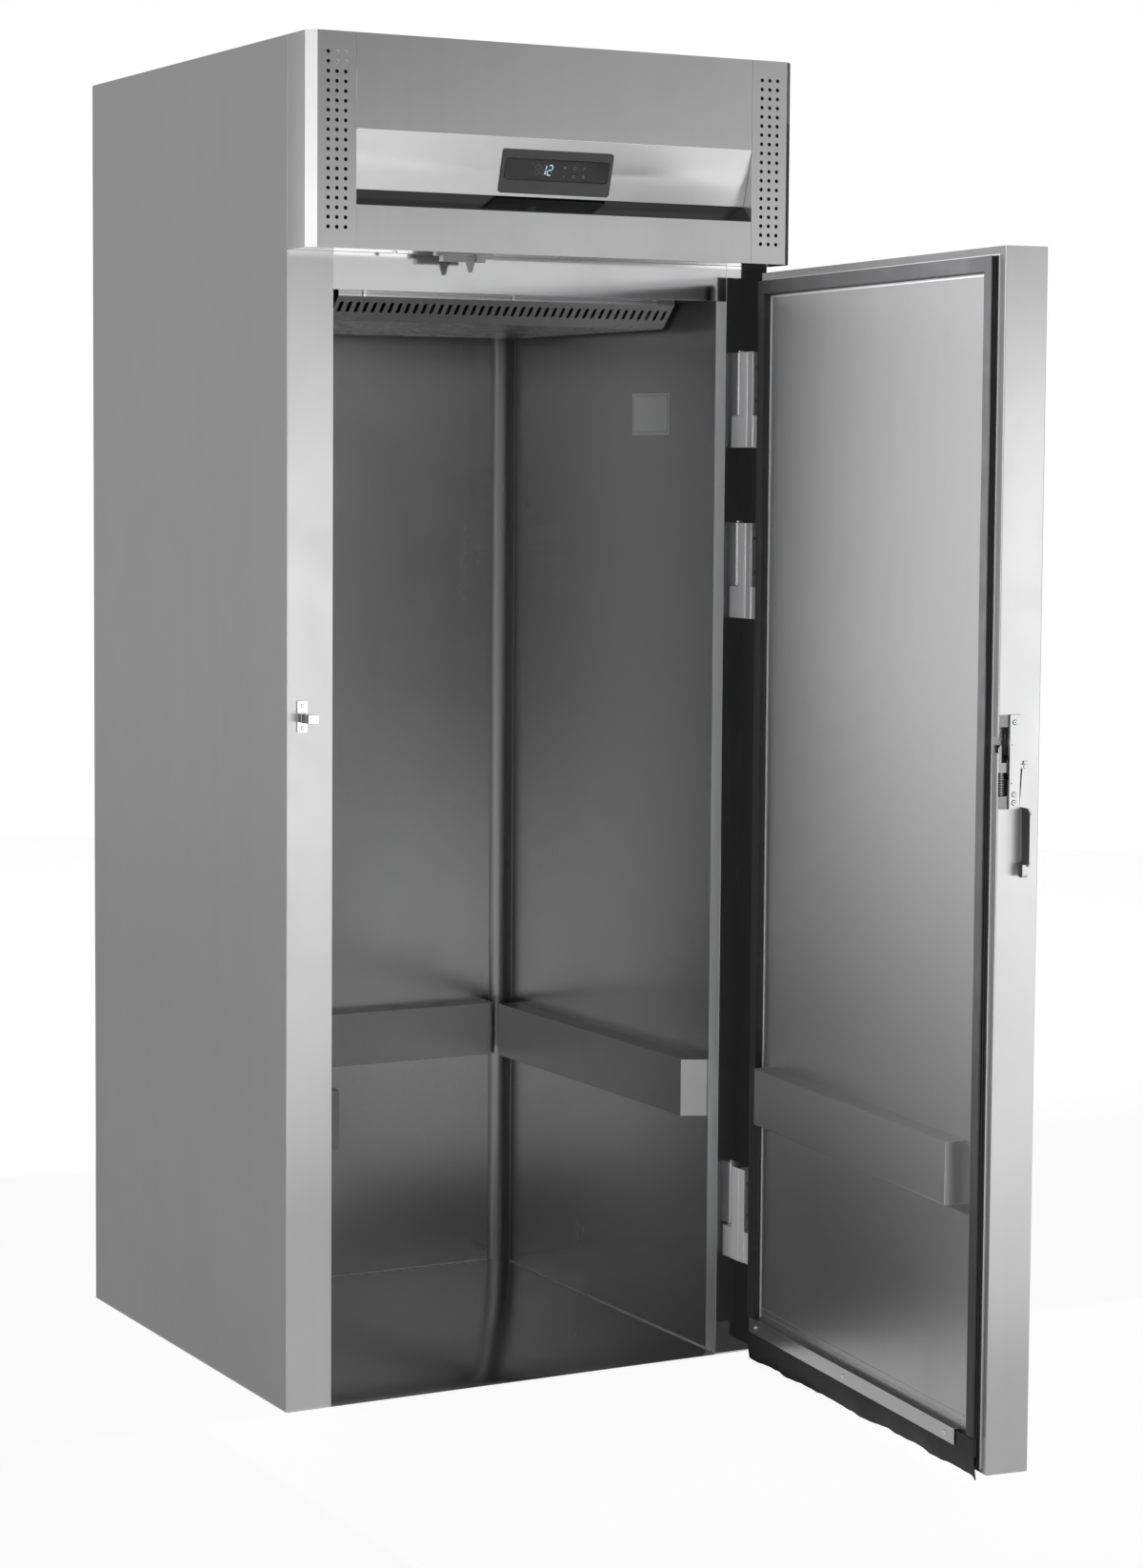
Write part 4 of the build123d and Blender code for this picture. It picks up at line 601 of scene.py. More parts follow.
def grid_faces(rows, columns, around=False):
    """Faces of a grid of points stored row by row; around joins the last column to the first."""
    row = np.arange(rows - 1)[:, None]
    column = np.arange(columns if around else columns - 1)[None, :]
    here, ahead, beside = row * columns, (row + 1) * columns, (column + 1) % columns
    corners = (here + column, here + beside, ahead + beside, ahead + column)
    return np.stack(np.broadcast_arrays(*corners), axis=-1).reshape(-1, 4)


def surface_piece(name, points, around=False, capped=False, finish_of_column=None):
    """A piece from points in millimetres, rows by columns by three; capped closes a tube's ends."""
    rows, columns = points.shape[:2]
    faces = grid_faces(rows, columns, around).tolist()
    if capped:
        faces += [list(range(columns)), list(range((rows - 1) * columns, rows * columns))]
    mesh = bpy.data.meshes.new(name)
    mesh.from_pydata((points.reshape(-1, 3) * mm).tolist(), [], faces)
    if finish_of_column is not None:
        finishes = np.zeros(len(faces), dtype=np.int32)
        finishes[: (rows - 1) * columns] = np.tile(finish_of_column, rows - 1)
        mesh.polygons.foreach_set("material_index", finishes)
    shell = bmesh.new()
    shell.from_mesh(mesh)
    bmesh.ops.remove_doubles(shell, verts=shell.verts, dist=WELD_WITHIN * mm)
    bmesh.ops.recalc_face_normals(shell, faces=shell.faces)
    shell.to_mesh(mesh)
    shell.free()
    return link_mesh(name, mesh)


def points_of(x, y, z):
    """Joins three arrays of one shape, or that spread to one, into an array of points."""
    return np.stack(np.broadcast_arrays(x, y, z), axis=-1).astype(float)


# %% Places on the door, drawn closed and swung to its rest angle
DOOR_EDGE, DOOR_INNER = -411.0, -439.0
HINGE_X, HINGE_Y = 429.0, -475.0


def swung(points):
    """Turns points drawn on the closed door about the hinge line to where the door rests."""
    across, out = points[..., 0] - HINGE_X, points[..., 1] - HINGE_Y
    turned = points.copy()
    turned[..., 0] = HINGE_X + across * cos(DOOR_REST) - out * sin(DOOR_REST)
    turned[..., 1] = HINGE_Y + across * sin(DOOR_REST) + out * cos(DOOR_REST)
    return turned


# %% [markdown]
# ## The door gasket
#
# A cold-room gasket is an extruded rubber tube with a magnet in its face: a smooth grey face,
# a black wall with two ribs that works as a bellows, and a soft lip towards the panel. Its
# profile runs up the free side, across the top and down the hinge side, mitred at the corners.
# Its lowest stretch is flatter in two steps, where it passes the sweep and the sweep's retainer.

# %% Path of the gasket
PAN_LOW_X, PAN_HIGH_X, PAN_TOP = -393.0, 390.0, 1836.0
LEG_FOOT, TAIL_TOP, LEG_STEP, STEP_HALF = 40.0, 58.0, 86.4, 0.6
STATION_STEP, FIRST_STATION, CORNER_CLEAR, START_CLEAR = 30, 110, 30, 40


def gasket_path():
    """Stations up one leg, across the top and down the other leg, and the way inward at each of them.

    Steps in height lie between two stations close together, and a corner's way inward is the sum of
    its two sides' ways, which mitres the profile.
    """
    steps = [TAIL_TOP - STEP_HALF, TAIL_TOP + STEP_HALF, LEG_STEP - STEP_HALF, LEG_STEP + STEP_HALF]
    evenly = np.arange(FIRST_STATION, PAN_TOP - CORNER_CLEAR, STATION_STEP)
    heights = np.concatenate([[LEG_FOOT], steps, evenly])
    crossing = np.arange(PAN_LOW_X + START_CLEAR, PAN_HIGH_X - CORNER_CLEAR, STATION_STEP)
    up, down = points_of(PAN_LOW_X, 0, heights), points_of(PAN_HIGH_X, 0, heights)[::-1]
    corners = points_of(np.array([PAN_LOW_X, PAN_HIGH_X]), 0, PAN_TOP)
    over = points_of(crossing, 0, PAN_TOP)
    stations = np.concatenate([up, corners[:1], over, corners[1:], down])
    ways = [(1, 0, 0), (1, 0, -1), (0, 0, -1), (-1, 0, -1), (-1, 0, 0)]
    counts = [len(up), 1, len(over), 1, len(down)]
    return stations, np.repeat(np.array(ways, float), counts, axis=0)


gasket_stations, gasket_inward = gasket_path()
print("gasket stations:", len(gasket_stations))

# %% Profile of the gasket, as millimetres inward and share of its height
GASKET_PROFILE = np.array([
    (0.2, 0.0), (0.2, 0.16), (1.8, 0.24), (1.9, 0.34), (0.3, 0.42), (0.2, 0.54),
    (1.7, 0.6), (1.7, 0.7), (0.2, 0.76), (0.0, 0.9), (0.9, 0.985), (2.4, 1.0),
    (7.0, 0.985), (12.0, 0.98), (17.0, 0.985), (20.6, 1.0), (22.0, 0.96), (22.6, 0.82),
    (22.2, 0.5), (23.0, 0.25), (24.0, 0.08), (24.0, 0.0),
])
FACE_START, FACE_END = 9, 16
PAN_PROUD, GASKET_PROUD, LOW_PROUD, TAIL_PROUD = 2.0, 13.5, 9.3, 5.6
WANDER, WANDER_UP, WANDER_ACROSS = 0.35, 61, 47


def gasket_surface(stations, inward):
    """Each profile point lies its first number inward of a station and its second times the height out.

    The height out of the pan is full above the last step and lower below it, less the low half of a
    slow sine, a third of a millimetre deep, because a pressed-in strip never lies quite straight.
    """
    height = stations[:, 2]
    low = np.where(height < TAIL_TOP, TAIL_PROUD, LOW_PROUD)
    proud = np.where(height < LEG_STEP, low, GASKET_PROUD) - PAN_PROUD
    wander = WANDER * np.sin(height / WANDER_UP + stations[:, 0] / WANDER_ACROSS) * (height > LEG_STEP + 1)
    points = stations[:, None, :] + GASKET_PROFILE[:, 0][None, :, None] * inward[:, None, :]
    out = GASKET_PROFILE[None, :, 1] * (proud + np.minimum(wander, 0))[:, None]
    points[..., 1] = DOOR_INNER + PAN_PROUD + out
    return points


column = np.arange(len(GASKET_PROFILE))
on_face = ((column >= FACE_START) & (column < FACE_END)).astype(np.int32)
gasket = surface_piece(
    "ribbed_gasket", swung(gasket_surface(gasket_stations, gasket_inward)),
    around=True, capped=True, finish_of_column=on_face,
)
soften(gasket, 0, sharp=radians(50))
gasket.data.materials.append(gasket_wall_rubber)
gasket.data.materials.append(gasket_rubber)
finish_piece(gasket, "door_gasket", None, "door")
print("gasket faces:", len(gasket.data.polygons), "profile points:", len(GASKET_PROFILE))

# %% [markdown]
# ## The rubber sweep
#
# Below the door hangs a strip of soft rubber that brushes the floor, so warm air stays out when
# there is no sill. It is held flat under its retainer, waves below it, and has a few sharp folds
# near the hinges, where closing the door has creased it. One sheet of points is made first, and
# two copies of it, a wall's thickness apart, close into one solid.

# %% Sweep
SWEEP_TOP, SWEEP_LEVEL, SWEEP_THICK = 84.0, 9.6, 2.0
SWEEP_START, SWEEP_END = -391.0, 391.0
SWEEP_COLUMNS, SWEEP_ROWS = 261, 15
FOOT_START, FOOT_FALL, TIP_DROOP, TIP_LENGTH = 27, 14.5, 6, 0.008
HELD_SHARE, LEAN_BACK, FOLD_DEPTH, FOLD_LENGTH = 0.4, 5, 1.6, 0.009
FOLD_PLACES = np.array([0.76, 0.86, 0.93, 0.97])


def ripple(along, depth, waves, start):
    """A sine of so many waves over the strip's length, begun at a share of a wave."""
    return depth * np.sin(2 * pi * (waves * along + start))


def sweep_middle(along, down):
    """The strip's middle surface, for shares 0 to 1 along it and down it.

    The foot's height falls along the strip by a power a little over one, plus two sines and a fine
    one that comes and goes, less a short droop at the tip. The distance from the door is level
    where the strip is held. Below that come two sines, less a square that leans the strip back,
    less one bell curve for each fold.
    """
    crumple = ripple(along, 0.6, 17.3, 0) * ripple(along, 1, 2.9, 0.3)
    ruffle = ripple(along, 1.1, 3.4, 0.15) + ripple(along, 0.7, 7.7, 0.4)
    foot = FOOT_START - FOOT_FALL * along**1.3 + ruffle + crumple - TIP_DROOP * np.exp(-along / TIP_LENGTH)
    folds = np.exp(-(((along - FOLD_PLACES) / FOLD_LENGTH) ** 2)).sum(axis=1, keepdims=True)
    wave = ripple(along, 1.8, 2.3, 0.1) + ripple(along, 1.3, 6.1, 0.35)
    slack = np.clip(down - HELD_SHARE, 0, None) / (1 - HELD_SHARE)
    out = SWEEP_LEVEL + wave * slack**1.5 - LEAN_BACK * slack**2 - FOLD_DEPTH * folds * slack
    x = SWEEP_START + along * (SWEEP_END - SWEEP_START)
    return points_of(x, DOOR_INNER + out, SWEEP_TOP + down * (foot - SWEEP_TOP))


def thickened(middle, thickness):
    """Rows of points round a sheet: its middle moved half a thickness along its normals, there and back."""
    side = np.cross(np.gradient(middle, axis=0), np.gradient(middle, axis=1))
    side /= np.linalg.norm(side, axis=-1, keepdims=True)
    half = thickness / 2
    return np.concatenate([middle + side * half, (middle - side * half)[:, ::-1]], axis=1)


strip = sweep_middle(np.linspace(0, 1, SWEEP_COLUMNS)[:, None], np.linspace(0, 1, SWEEP_ROWS)[None, :])
sweep = surface_piece("rubber_sweep", swung(thickened(strip, SWEEP_THICK)), around=True, capped=True)
soften(sweep, 0, sharp=radians(60))
finish_piece(sweep, "door_sweep", sweep_rubber, "door")
print("sweep faces:", len(sweep.data.polygons))

# %% [markdown]
# ## Small pieces in the sheet metal
#
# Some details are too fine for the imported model: the pressed bead that frames the door's inner
# pan, two crease lines above the sweep, the pan's rolled hem, a sealing bead where the floor
# plate meets the walls and the blank rating plate on the right wall. Each is a set of thin
# blocks, and nearly all have softened edges.


# %% Sets of thin blocks
def blocks(name, spans, on_door=False):
    """A piece of straight blocks, each given by its low and high X, Y and Z in millimetres.

    A block's eight corners are all the choices of low or high along the three axes.
    """
    spans = np.array(spans, float).reshape(-1, 3, 2)
    pick = np.array([(x, y, z) for x in (0, 1) for y in (0, 1) for z in (0, 1)])
    points = np.stack([spans[:, axis, :][:, pick[:, axis]] for axis in range(3)], axis=-1)
    points = swung(points) if on_door else points
    sides = np.array([(0, 1, 3, 2), (4, 6, 7, 5), (0, 4, 5, 1), (2, 3, 7, 6), (0, 2, 6, 4), (1, 5, 7, 3)])
    faces = (sides[None] + 8 * np.arange(len(spans))[:, None, None]).reshape(-1, 4)
    mesh = bpy.data.meshes.new(name)
    mesh.from_pydata((points.reshape(-1, 3) * mm).tolist(), [], faces.tolist())
    return link_mesh(name, mesh)


# %% Bead and hem of the door's pan
# The bead, creases and hem below take the pale finishes whose brightness is a painted highlight.
PAN_FACE, BEAD_INSET, BEAD_FOOT = DOOR_INNER + PAN_PROUD, 26, 90.0
BEAD_SUNK, BEAD_RISE, BEAD_WIDTH = 0.1, 0.9, 2.2
HINGE_BEAD_RISE, HINGE_BEAD_WIDTH, HINGE_BEAD_INSET, HINGE_BEAD_DROP = 1.6, 3.8, 1.4, 2
CREASE_WIDTH, CREASE_RISE, CREASES_Z = 1.4, 0.6, (96.0, 106.0)
HEM_WIDTH, HEM_GAP, HEM_SUNK, HEM_RISE = 2.4, 0.2, 0.1, 1.9

in_left, in_right, in_top = PAN_LOW_X + BEAD_INSET, PAN_HIGH_X - BEAD_INSET, PAN_TOP - BEAD_INSET
bead_low, bead_high = PAN_FACE - BEAD_SUNK, PAN_FACE + BEAD_RISE
hinge_bead_x = in_right - HINGE_BEAD_INSET
pan_bead = blocks("pan_pressed_bead", [
    (in_left, in_left + BEAD_WIDTH, bead_low, bead_high, BEAD_FOOT, in_top),
    (hinge_bead_x - HINGE_BEAD_WIDTH, hinge_bead_x, bead_low, PAN_FACE + HINGE_BEAD_RISE,
     BEAD_FOOT, in_top - HINGE_BEAD_DROP),
    (in_left, in_right, bead_low, bead_high, in_top - BEAD_WIDTH, in_top),
    *((in_left, in_right, bead_low, PAN_FACE + CREASE_RISE, z, z + CREASE_WIDTH) for z in CREASES_Z),
], on_door=True)
finish_piece(soften(pan_bead, 0.4), None, bead_painted_highlight, "door")

hem_out = (DOOR_INNER - HEM_SUNK, DOOR_INNER + HEM_RISE)
hem_x, hem_z = PAN_LOW_X - HEM_GAP, PAN_TOP + HEM_GAP
pan_hem = blocks("pan_rolled_hem", [
    (hem_x - HEM_WIDTH, hem_x, *hem_out, LEG_FOOT, hem_z + HEM_WIDTH),
    (hem_x, PAN_HIGH_X, *hem_out, hem_z, hem_z + HEM_WIDTH),
], on_door=True)
finish_piece(soften(pan_hem, 0.6, segments=3), None, hem_painted_highlight, "door")
print("bead blocks:", len(pan_bead.data.polygons) // 6, "hem blocks:", len(pan_hem.data.polygons) // 6)

# %% [markdown]
# ## Dark rims round the latch screws
#
# A countersunk screw shows as a bright head in a thin gap, with a drive in its middle, and both
# lie in shade. They are too shallow to model, so flat black rings and discs, a painted shade, lie
# just above the metal.

# %% Painted shade rings round the screws
LATCH_SCREWS_Z, LATCH_SCREW_OUT = (1157.0, 1050.6, 1038.6), 25.5
COVER_FACE, SCREW_HEAD = 3.9, 1.6
GAP_SHADE_RING, DRIVE_SHADE_DISC = (0.12, 3.3, 4.1), (SCREW_HEAD + 0.08, 0.02, 1.15)


def screw_shade_rings(name, heights, loops, x, y, count=20):
    """Flat rings of painted shade round screws in the door's edge; a loop is its lift, inner radius and outer
    radius.

    The points of a loop are its two radii times the cosine and sine of even bearings.
    """
    bearing = 2 * pi * np.arange(count) / count
    points, faces = [], []
    for z in heights:
        for lift, inner, outer in loops:
            radii = np.array([inner, outer])[:, None]
            ring = points_of(x - lift, y + radii * np.cos(bearing), z + radii * np.sin(bearing))
            faces.append(grid_faces(2, count, around=True) + sum(len(loop) for loop in points))
            points.append(ring.reshape(-1, 3))
    mesh = bpy.data.meshes.new(name)
    mesh.from_pydata((swung(np.concatenate(points)) * mm).tolist(), [], np.concatenate(faces).tolist())
    return link_mesh(name, mesh)


# Painted shade: black rings in the gaps round the screw heads and black discs in their drives.
rims = screw_shade_rings(
    "latch_screw_painted_shade", LATCH_SCREWS_Z, [GAP_SHADE_RING, DRIVE_SHADE_DISC],
    DOOR_EDGE - COVER_FACE, DOOR_INNER - LATCH_SCREW_OUT,
)
finish_piece(rims, None, black_for_flags_and_painted_shade, "door")
print("screw rims:", len(LATCH_SCREWS_Z))

# %% Sealing bead along the floor plate
ROOM_X, ROOM_FRONT_Y, ROOM_BACK_Y, PLATE_TOP = 365.0, -390, 365.0, 3.0
SEAL_SIZE, CORNER_ROOM = 2.4, 32

seal_z = (PLATE_TOP, PLATE_TOP + SEAL_SIZE)
seal_y = (ROOM_FRONT_Y, ROOM_BACK_Y - CORNER_ROOM)
floor_bead = blocks("floor_sealing_bead", [
    (ROOM_X - SEAL_SIZE, ROOM_X, *seal_y, *seal_z),
    (-ROOM_X, -ROOM_X + SEAL_SIZE, *seal_y, *seal_z),
    (-ROOM_X + CORNER_ROOM, ROOM_X - CORNER_ROOM, ROOM_BACK_Y - SEAL_SIZE, ROOM_BACK_Y, *seal_z),
])
# The sealing bead takes the white that is painted light on the jamb's return.
finish_piece(soften(floor_bead, 0.9), None, return_painted_light_and_seal_white, "cabinet")
print("sealing bead blocks:", len(floor_bead.data.polygons) // 6)

# %% Rating plate and its border
PLATE_Y, PLATE_Z, PLATE_THICK = (-238.0, -112.0), (1582.0, 1655.0), 0.25
BORDER_INSET, BORDER_WIDTH, BORDER_X = 4, 1, (ROOM_X - 0.3, ROOM_X - 0.2)

rating_plate = blocks("blank_rating_plate", [(ROOM_X - PLATE_THICK, ROOM_X, *PLATE_Y, *PLATE_Z)])
finish_piece(soften(rating_plate, 0.08), None, label_foil, "cabinet")
low_y, high_y = PLATE_Y[0] + BORDER_INSET, PLATE_Y[1] - BORDER_INSET
low_z, high_z = PLATE_Z[0] + BORDER_INSET, PLATE_Z[1] - BORDER_INSET
plate_lines = blocks("rating_plate_border", [
    (*BORDER_X, low_y, high_y, low_z, low_z + BORDER_WIDTH),
    (*BORDER_X, low_y, high_y, high_z - BORDER_WIDTH, high_z),
    (*BORDER_X, low_y, low_y + BORDER_WIDTH, low_z, high_z),
    (*BORDER_X, high_y - BORDER_WIDTH, high_y, low_z, high_z),
])
finish_piece(plate_lines, None, inner_steel, "cabinet")
print("rating plate:", PLATE_Y[1] - PLATE_Y[0], "by", PLATE_Z[1] - PLATE_Z[0], "mm")

# %% [markdown]
# ## The controller's display
#
# The window lies in the sloping band. Its digits are seven bars each, leaning a little, with the
# unlit bars just visible by a faint painted glow. The key marks beside them are plain bars, a ring
# and small arrows, and glow faintly as painted light.
# Every mark is drawn flat, in millimetres from the window's middle, and then laid on the window.

# %% Places on the window
BAND_ORIGIN = np.array((0.5, -490.1, 1999.0))
BAND_UP, BAND_OUT = np.array((0, -0.2754, 0.9613)), np.array((0, -0.9613, -0.2754))
WINDOW_MIDDLE, WINDOW_PROUD, MARK_LIFT = 4.2, 2.2, 0.12


def on_window(flat, lift):
    """Points on the window: across along X and up along the band's slope, lifted off its face."""
    flat = np.asarray(flat, float)
    up = (flat[..., 1] + WINDOW_MIDDLE)[..., None] * BAND_UP
    return BAND_ORIGIN + flat[..., :1] * np.array((1, 0, 0)) + up + (WINDOW_PROUD + lift) * BAND_OUT


def flat_marks(name, quads, material):
    """A piece of flat quads that lie on the display's window."""
    points = on_window(quads, MARK_LIFT).reshape(-1, 3)
    mesh = bpy.data.meshes.new(name)
    mesh.from_pydata((points * mm).tolist(), [], np.arange(len(points)).reshape(-1, 4).tolist())
    print(name, "has", len(mesh.polygons), "bars")
    return finish_piece(link_mesh(name, mesh), None, material, "header_panel")


def bars(places, lean=0.0):
    """Flat bars as quads, each given by its centre, half length, half width and angle in degrees.

    A corner is the centre plus or minus the half length along the angle's direction and the half
    width across it; lean then moves it sideways by a share of its height.
    """
    places = np.array(places, float)
    turn = np.radians(places[:, 4])
    along = np.stack([np.cos(turn), np.sin(turn)], axis=-1) * places[:, 2:3]
    beside = np.stack([-np.sin(turn), np.cos(turn)], axis=-1) * places[:, 3:4]
    start, end = places[:, :2] - along, places[:, :2] + along
    quads = np.stack([start - beside, end - beside, end + beside, start + beside], axis=1)
    quads[..., 0] += lean * quads[..., 1]
    return quads


# %% Digits
DIGIT_HALF_HEIGHT, DIGIT_LEAN = 8.0, 0.16
DIGIT_HALF_WIDTH, BAR_HALF_WIDTH = 0.47 * DIGIT_HALF_HEIGHT, 0.095 * DIGIT_HALF_HEIGHT
BAR_GAP = 1.3 * BAR_HALF_WIDTH
DIGIT_BARS = {
    "top": (0, 1, 0), "middle": (0, 0, 0), "foot": (0, -1, 0),
    "upper_left": (-1, 0.5, 90), "upper_right": (1, 0.5, 90),
    "lower_left": (-1, -0.5, 90), "lower_right": (1, -0.5, 90),
}
ALL_BARS = set(DIGIT_BARS)
ONE, TWO = {"upper_right", "lower_right"}, {"top", "upper_right", "middle", "lower_left", "foot"}
BLANK_X, TENS_X, ONES_X = -36.0, -24.5, -13.0
LAMP_DOT = (-46, 9.5, 0.8, 0.8, 0)


def digit_bars(lit, across):
    """The bars of one seven-bar digit that are lit, as quads leaning to the right.

    A level bar is as long as the digit is wide and an upright one as half its height, less a gap.
    """
    half_length = {0: DIGIT_HALF_WIDTH - BAR_GAP, 90: DIGIT_HALF_HEIGHT / 2 - BAR_GAP}
    return bars([
        (across + x * DIGIT_HALF_WIDTH, y * DIGIT_HALF_HEIGHT, half_length[angle], BAR_HALF_WIDTH, angle)
        for label, (x, y, angle) in DIGIT_BARS.items() if label in lit
    ], lean=DIGIT_LEAN)


lit = [digit_bars(ONE, TENS_X), digit_bars(TWO, ONES_X)]
flat_marks("lit_digits", np.concatenate(lit), lit_segment)
unlit = [
    digit_bars(ALL_BARS, BLANK_X), digit_bars(ALL_BARS - ONE, TENS_X),
    digit_bars(ALL_BARS - TWO, ONES_X), bars([LAMP_DOT]),
]
flat_marks("unlit_digits", np.concatenate(unlit), unlit_segment_painted_glow)

# %% Key marks
KEY_COLUMNS, KEY_ROWS = (14.0, 32.0, 50.0), (5.5, -8.5)
LINE_HALF_WIDTH, RING_HALF_WIDTH, RING_BARS, RING_OVERLAP = 0.4, 0.35, 16, 1.05
ARROW_HALF_GAP, ARROW_HALF_LENGTH, ARROW_SLOPE = 1.1, 1.9, 55


def ring_marks(across, up, radius):
    """Short bars set in a ring: each is a little longer than its share of the circle."""
    bearing = np.arange(RING_BARS) * 360 / RING_BARS
    x, y = across + radius * np.cos(np.radians(bearing)), up + radius * np.sin(np.radians(bearing))
    half_length = pi * radius / RING_BARS * RING_OVERLAP
    return bars(np.stack(np.broadcast_arrays(x, y, half_length, RING_HALF_WIDTH, bearing + 90), axis=-1))


def arrow_marks(across, up, slope):
    """Two bars that meet in a point, which is at the top for a slope under 90 degrees."""
    return bars([
        (across - ARROW_HALF_GAP, up, ARROW_HALF_LENGTH, LINE_HALF_WIDTH, slope),
        (across + ARROW_HALF_GAP, up, ARROW_HALF_LENGTH, LINE_HALF_WIDTH, 180 - slope),
    ])


(left, centre, right), (upper, lower) = KEY_COLUMNS, KEY_ROWS
key_marks = [
    bars([(left, upper, 2.6, LINE_HALF_WIDTH, angle) for angle in (0, 60, 120)]),
    ring_marks(centre, upper, 2.2),
    arrow_marks(right, upper, ARROW_SLOPE),
    arrow_marks(left, lower, 180 - ARROW_SLOPE),
    bars([(centre, lower + shift, 2.8, LINE_HALF_WIDTH, 0) for shift in (-1.3, 1.3)]),
    ring_marks(right, lower, 2.0),
    bars([(right, lower + 1.8, 1.4, LINE_HALF_WIDTH, 90)]),
]
flat_marks("key_marks", np.concatenate(key_marks), printed_mark_painted_glow)

# %% Raised rim of the window
WINDOW_HALF_WIDTH, WINDOW_HALF_HEIGHT, WINDOW_CORNER, CORNER_POINTS = 95.0, 17.5, 5.7, 8
RIM_LOOPS = ((0.1, 0.02), (0.3, 0.35), (2.0, 0.35), (2.4, 0.02))


def window_outline(inset):
    """A closed rounded outline round the window: four quarter circles, drawn in by some millimetres."""
    radius = WINDOW_CORNER - inset
    half_w, half_h = WINDOW_HALF_WIDTH - inset - radius, WINDOW_HALF_HEIGHT - inset - radius
    quarters = [np.linspace(start, start + 90, CORNER_POINTS) for start in (0, 90, 180, 270)]
    bearing = np.radians(np.concatenate(quarters))
    corner_x = np.repeat((half_w, -half_w, -half_w, half_w), CORNER_POINTS)
    corner_y = np.repeat((half_h, half_h, -half_h, -half_h), CORNER_POINTS)
    return np.stack([corner_x + radius * np.cos(bearing), corner_y + radius * np.sin(bearing)], axis=-1)


rim_loops = np.stack([on_window(window_outline(inset), lift) for inset, lift in RIM_LOOPS])
window_rim = surface_piece("window_rim", rim_loops, around=True)
finish_piece(soften(window_rim, 0), None, window_frame_plastic, "header_panel")
print("window rim faces:", len(window_rim.data.polygons))

# %% [markdown]
# ## Floor and white surroundings
#
# The object stands on a plain pale floor in a white room. Floor and world are white to the camera
# and to mirrored rays, and much darker to the rays that light the object, so the picture has a
# clean ground while the floor keeps the object's shadow and throws little light up at the steel.

# %% Floor and world
FLOOR_HALF, FLOOR_GREY, FLOOR_GLOW, ROOM_LIGHT = 14.0, 0.28, 0.87, 0.2
WHITE = (1, 1, 1, 1)


def seen_directly(tree):
    """One for a ray from the camera, a mirrored ray or one through glass, and nought for the others."""
    kinds = add(tree, "LightPath").outputs
    off_or_through = math(tree, "MAXIMUM", kinds["Is Glossy Ray"], kinds["Is Transmission Ray"])
    return math(tree, "MAXIMUM", kinds["Is Camera Ray"], off_or_through)


def sheet_piece(name, corners):
    """A piece of the studio with one flat face."""
    mesh = bpy.data.meshes.new(name)
    mesh.from_pydata(corners, [], [(0, 1, 2, 3)])
    return link_mesh(name, mesh)


floor_corners = [(x * FLOOR_HALF, y * FLOOR_HALF, 0) for x, y in ((-1, -1), (1, -1), (1, 1), (-1, 1))]
studio_floor = sheet_piece("studio_floor", floor_corners)

pale_floor, tree, surface = new_material("pale floor")
surface.inputs["Base Color"].default_value = (FLOOR_GREY, FLOOR_GREY, FLOOR_GREY, 1)
surface.inputs["Roughness"].default_value = 0.7
surface.inputs["Emission Color"].default_value = WHITE
glow = math(tree, "MULTIPLY", seen_directly(tree), FLOOR_GLOW)
tree.links.new(glow, surface.inputs["Emission Strength"])
studio_floor.data.materials.append(pale_floor)

world = bpy.data.worlds.new("studio")
bpy.context.scene.world = world
world.use_nodes = True
tree, background = world.node_tree, world.node_tree.nodes["Background"]
tree.links.new(spread(tree, seen_directly(tree), 0.0, 1.0, ROOM_LIGHT, 1.0), background.inputs["Strength"])
background.inputs["Color"].default_value = WHITE
print("floor:", 2 * FLOOR_HALF, "m square")

# %% [markdown]
# ## Lamps and what keeps them off
#
# Four soft boxes light the object. A strong one far to the left lights the open door's inner
# side, and two weak ones in front fill the jambs. A tall narrow one with little spread stands
# close in front and reaches the right jamb's inner side. Black sheets shade the cabinet's left
# side and the top and foot of the door, as a photographer's flags do, so the door's tone falls
# off above and below a bright middle.


# %% Lamps and flags
def soft_box(name, place, target, width, height, radiance):
    """An area lamp of even brightness that faces a target; its watts are radiance times area times pi."""
    lamp = bpy.data.lights.new(name, "AREA")
    lamp.shape = "RECTANGLE"
    lamp.size, lamp.size_y = width, height
    lamp.energy = radiance * width * height * pi
    box = bpy.data.objects.new(name, lamp)
    box.rotation_euler = (Vector(target) - Vector(place)).to_track_quat("-Z", "Y").to_euler()
    box.location = place
    box.visible_camera = False
    bpy.context.scene.collection.objects.link(box)
    return box


def light_flag(name, x, depths, heights, stops_bounce=False):
    """A black sheet square to X that keeps a lamp off a part of the object; scattered light may pass it."""
    (near, far), (low, high) = depths, heights
    flag = sheet_piece(name, [(x, near, low), (x, far, low), (x, far, high), (x, near, high)])
    flag.data.materials.append(black_for_flags_and_painted_shade)
    flag.visible_camera = False
    flag.visible_diffuse = stops_bounce
    flag.visible_glossy = False
    flag.visible_transmission = False


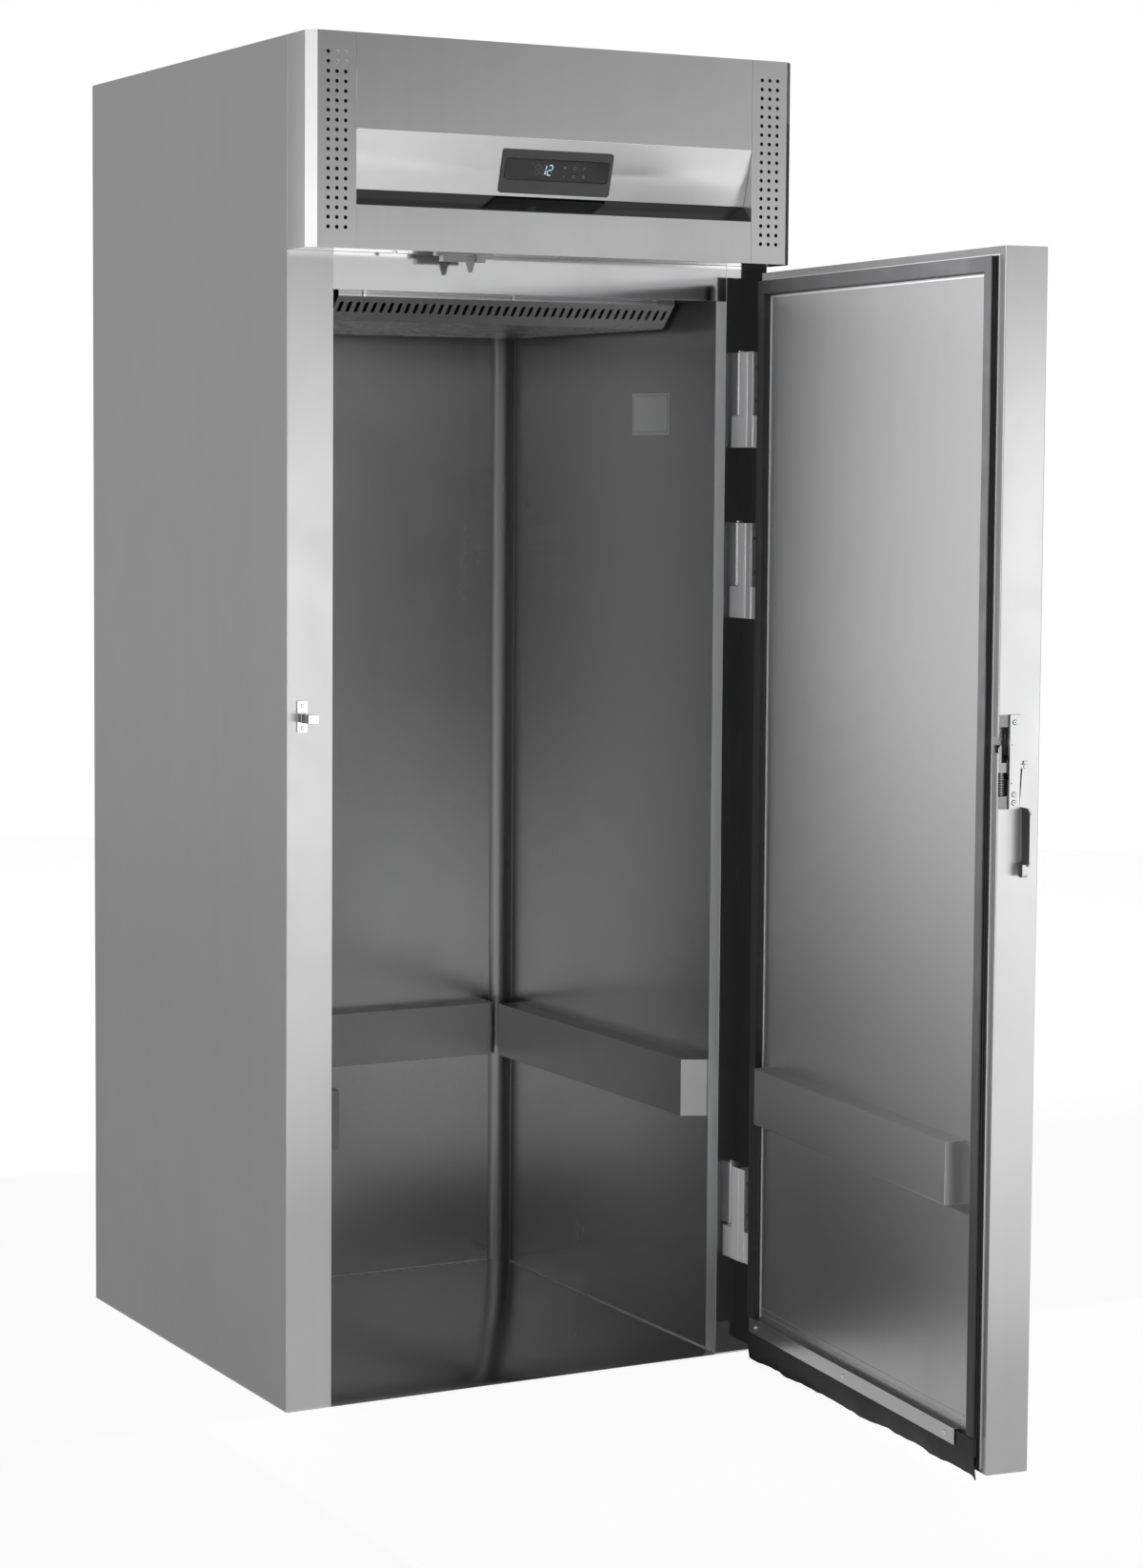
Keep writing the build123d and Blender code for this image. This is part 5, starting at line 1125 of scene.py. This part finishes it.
door_light = soft_box("door soft box", (-4.2, 1.2, 1.8), (0.3, -0.9, 1.8), 2.6, 1.6, 105.0)
door_light.visible_glossy = False
door_light.data.cycles.use_multiple_importance_sampling = False
soft_box("left front soft box", (-4.4, -3.0, 1.43), (0, -0.4, 1.4), 1.6, 2.0, 1.1)
soft_box("front soft box", (3.0, -6.0, 1.0), (0, -0.4, 0.9), 3.6, 1.6, 1.1)
jamb_light = soft_box("room soft box", (-1.2, -2.2, 1.05), (0.365, -0.09, 1.05), 0.12, 1.7, 2.4)
jamb_light.data.spread = radians(10)
jamb_light.visible_glossy = False
light_flag("low flag", -2.0, (-3.2, 1.6), (0.0, 1.44), stops_bounce=True)
light_flag("high flag", -2.0, (-3.2, 1.6), (1.9, 4.0))
light_flag("side flag", -0.6, (-0.4, 1.6), (0.0, 2.4))

# %% [markdown]
# ## Cards that only the steel sees
#
# Brushed and polished steel shows its surroundings as calm areas of light and dark, and a white
# room alone would leave every face equally bright. Matt cards that no other rays see give the
# steel something to mirror: curved walls for the upright faces and cards on the floor for the
# faces that lean. The floor cards close by and under the hinges are darker as a painted shadow,
# and a small black one in the gap between jamb and door is painted shade.


# %% Cards
def grey_card(name, points, tone):
    """A matt card of one tone, made from a grid of points, that only mirrored rays see."""
    points = np.asarray(points, float)
    mesh = bpy.data.meshes.new(name)
    mesh.from_pydata(points.reshape(-1, 3).tolist(), [], grid_faces(*points.shape[:2]).tolist())
    card = link_mesh(name, mesh)
    material, _, surface = new_material(name)
    surface.inputs["Base Color"].default_value = (0, 0, 0, 1)
    surface.inputs["Specular IOR Level"].default_value = 0
    surface.inputs["Emission Color"].default_value = (tone, tone, tone, 1)
    surface.inputs["Emission Strength"].default_value = 1
    mesh.materials.append(material)
    card.visible_camera = False
    card.visible_shadow = False
    card.visible_diffuse = False
    print(name, "has tone", tone)


def curved_wall(radius, start, end, low, high, count=24):
    """Points of a wall on a circle about the object, between two bearings in degrees from +X."""
    bearing = np.radians(np.linspace(start, end, count))[:, None]
    return points_of(radius * np.cos(bearing), radius * np.sin(bearing), np.array([[low, high]]))


def floor_card(name, across, depths, tone, height=0.001):
    """A grey card that lies just above the floor."""
    grey_card(name, [[(x, y, height) for y in depths] for x in across], tone)


GAP_FRONT, GAP_BACK, GAP_HEIGHTS = (0.452, -0.52), (0.4475, -0.425), (0.0, 2.1)
grey_card("back left wall", curved_wall(8, 95, 172, -0.1, 7), 0.46)
grey_card("right wall card", curved_wall(8, -35, 85, -0.1, 7), 0.12)
grey_card("front left wall", curved_wall(8, 220, 262, -0.1, 2.1), 0.12)
grey_card("high front wall", curved_wall(7.5, -110, -61, 2.48, 7), 0.13)
grey_card("left front light wall", curved_wall(7.5, 196, 217, -0.1, 4), 2.1)
floor_card("back left floor", (-8, -0.446), (-0.42, 8), 0.4)
floor_card("floor ahead", (-2, 7), (-9, -3.2), 1.4)
# Painted shadow: the floor close by and under the hinges, as the leaning steel mirrors it; the black card in
# the hinge gap is painted shade.
floor_card("floor close by, painted shadow", (-0.6, 2), (-2.2, -0.43), 0.72)
grey_card("hinge gap card, painted shade", [[(*place, z) for z in GAP_HEIGHTS] for place in (GAP_BACK, GAP_FRONT)], 0.02)
floor_card("floor under the hinges, painted shadow", (0.34, 0.62), (-0.8, -0.426), 0.06, height=0.002)
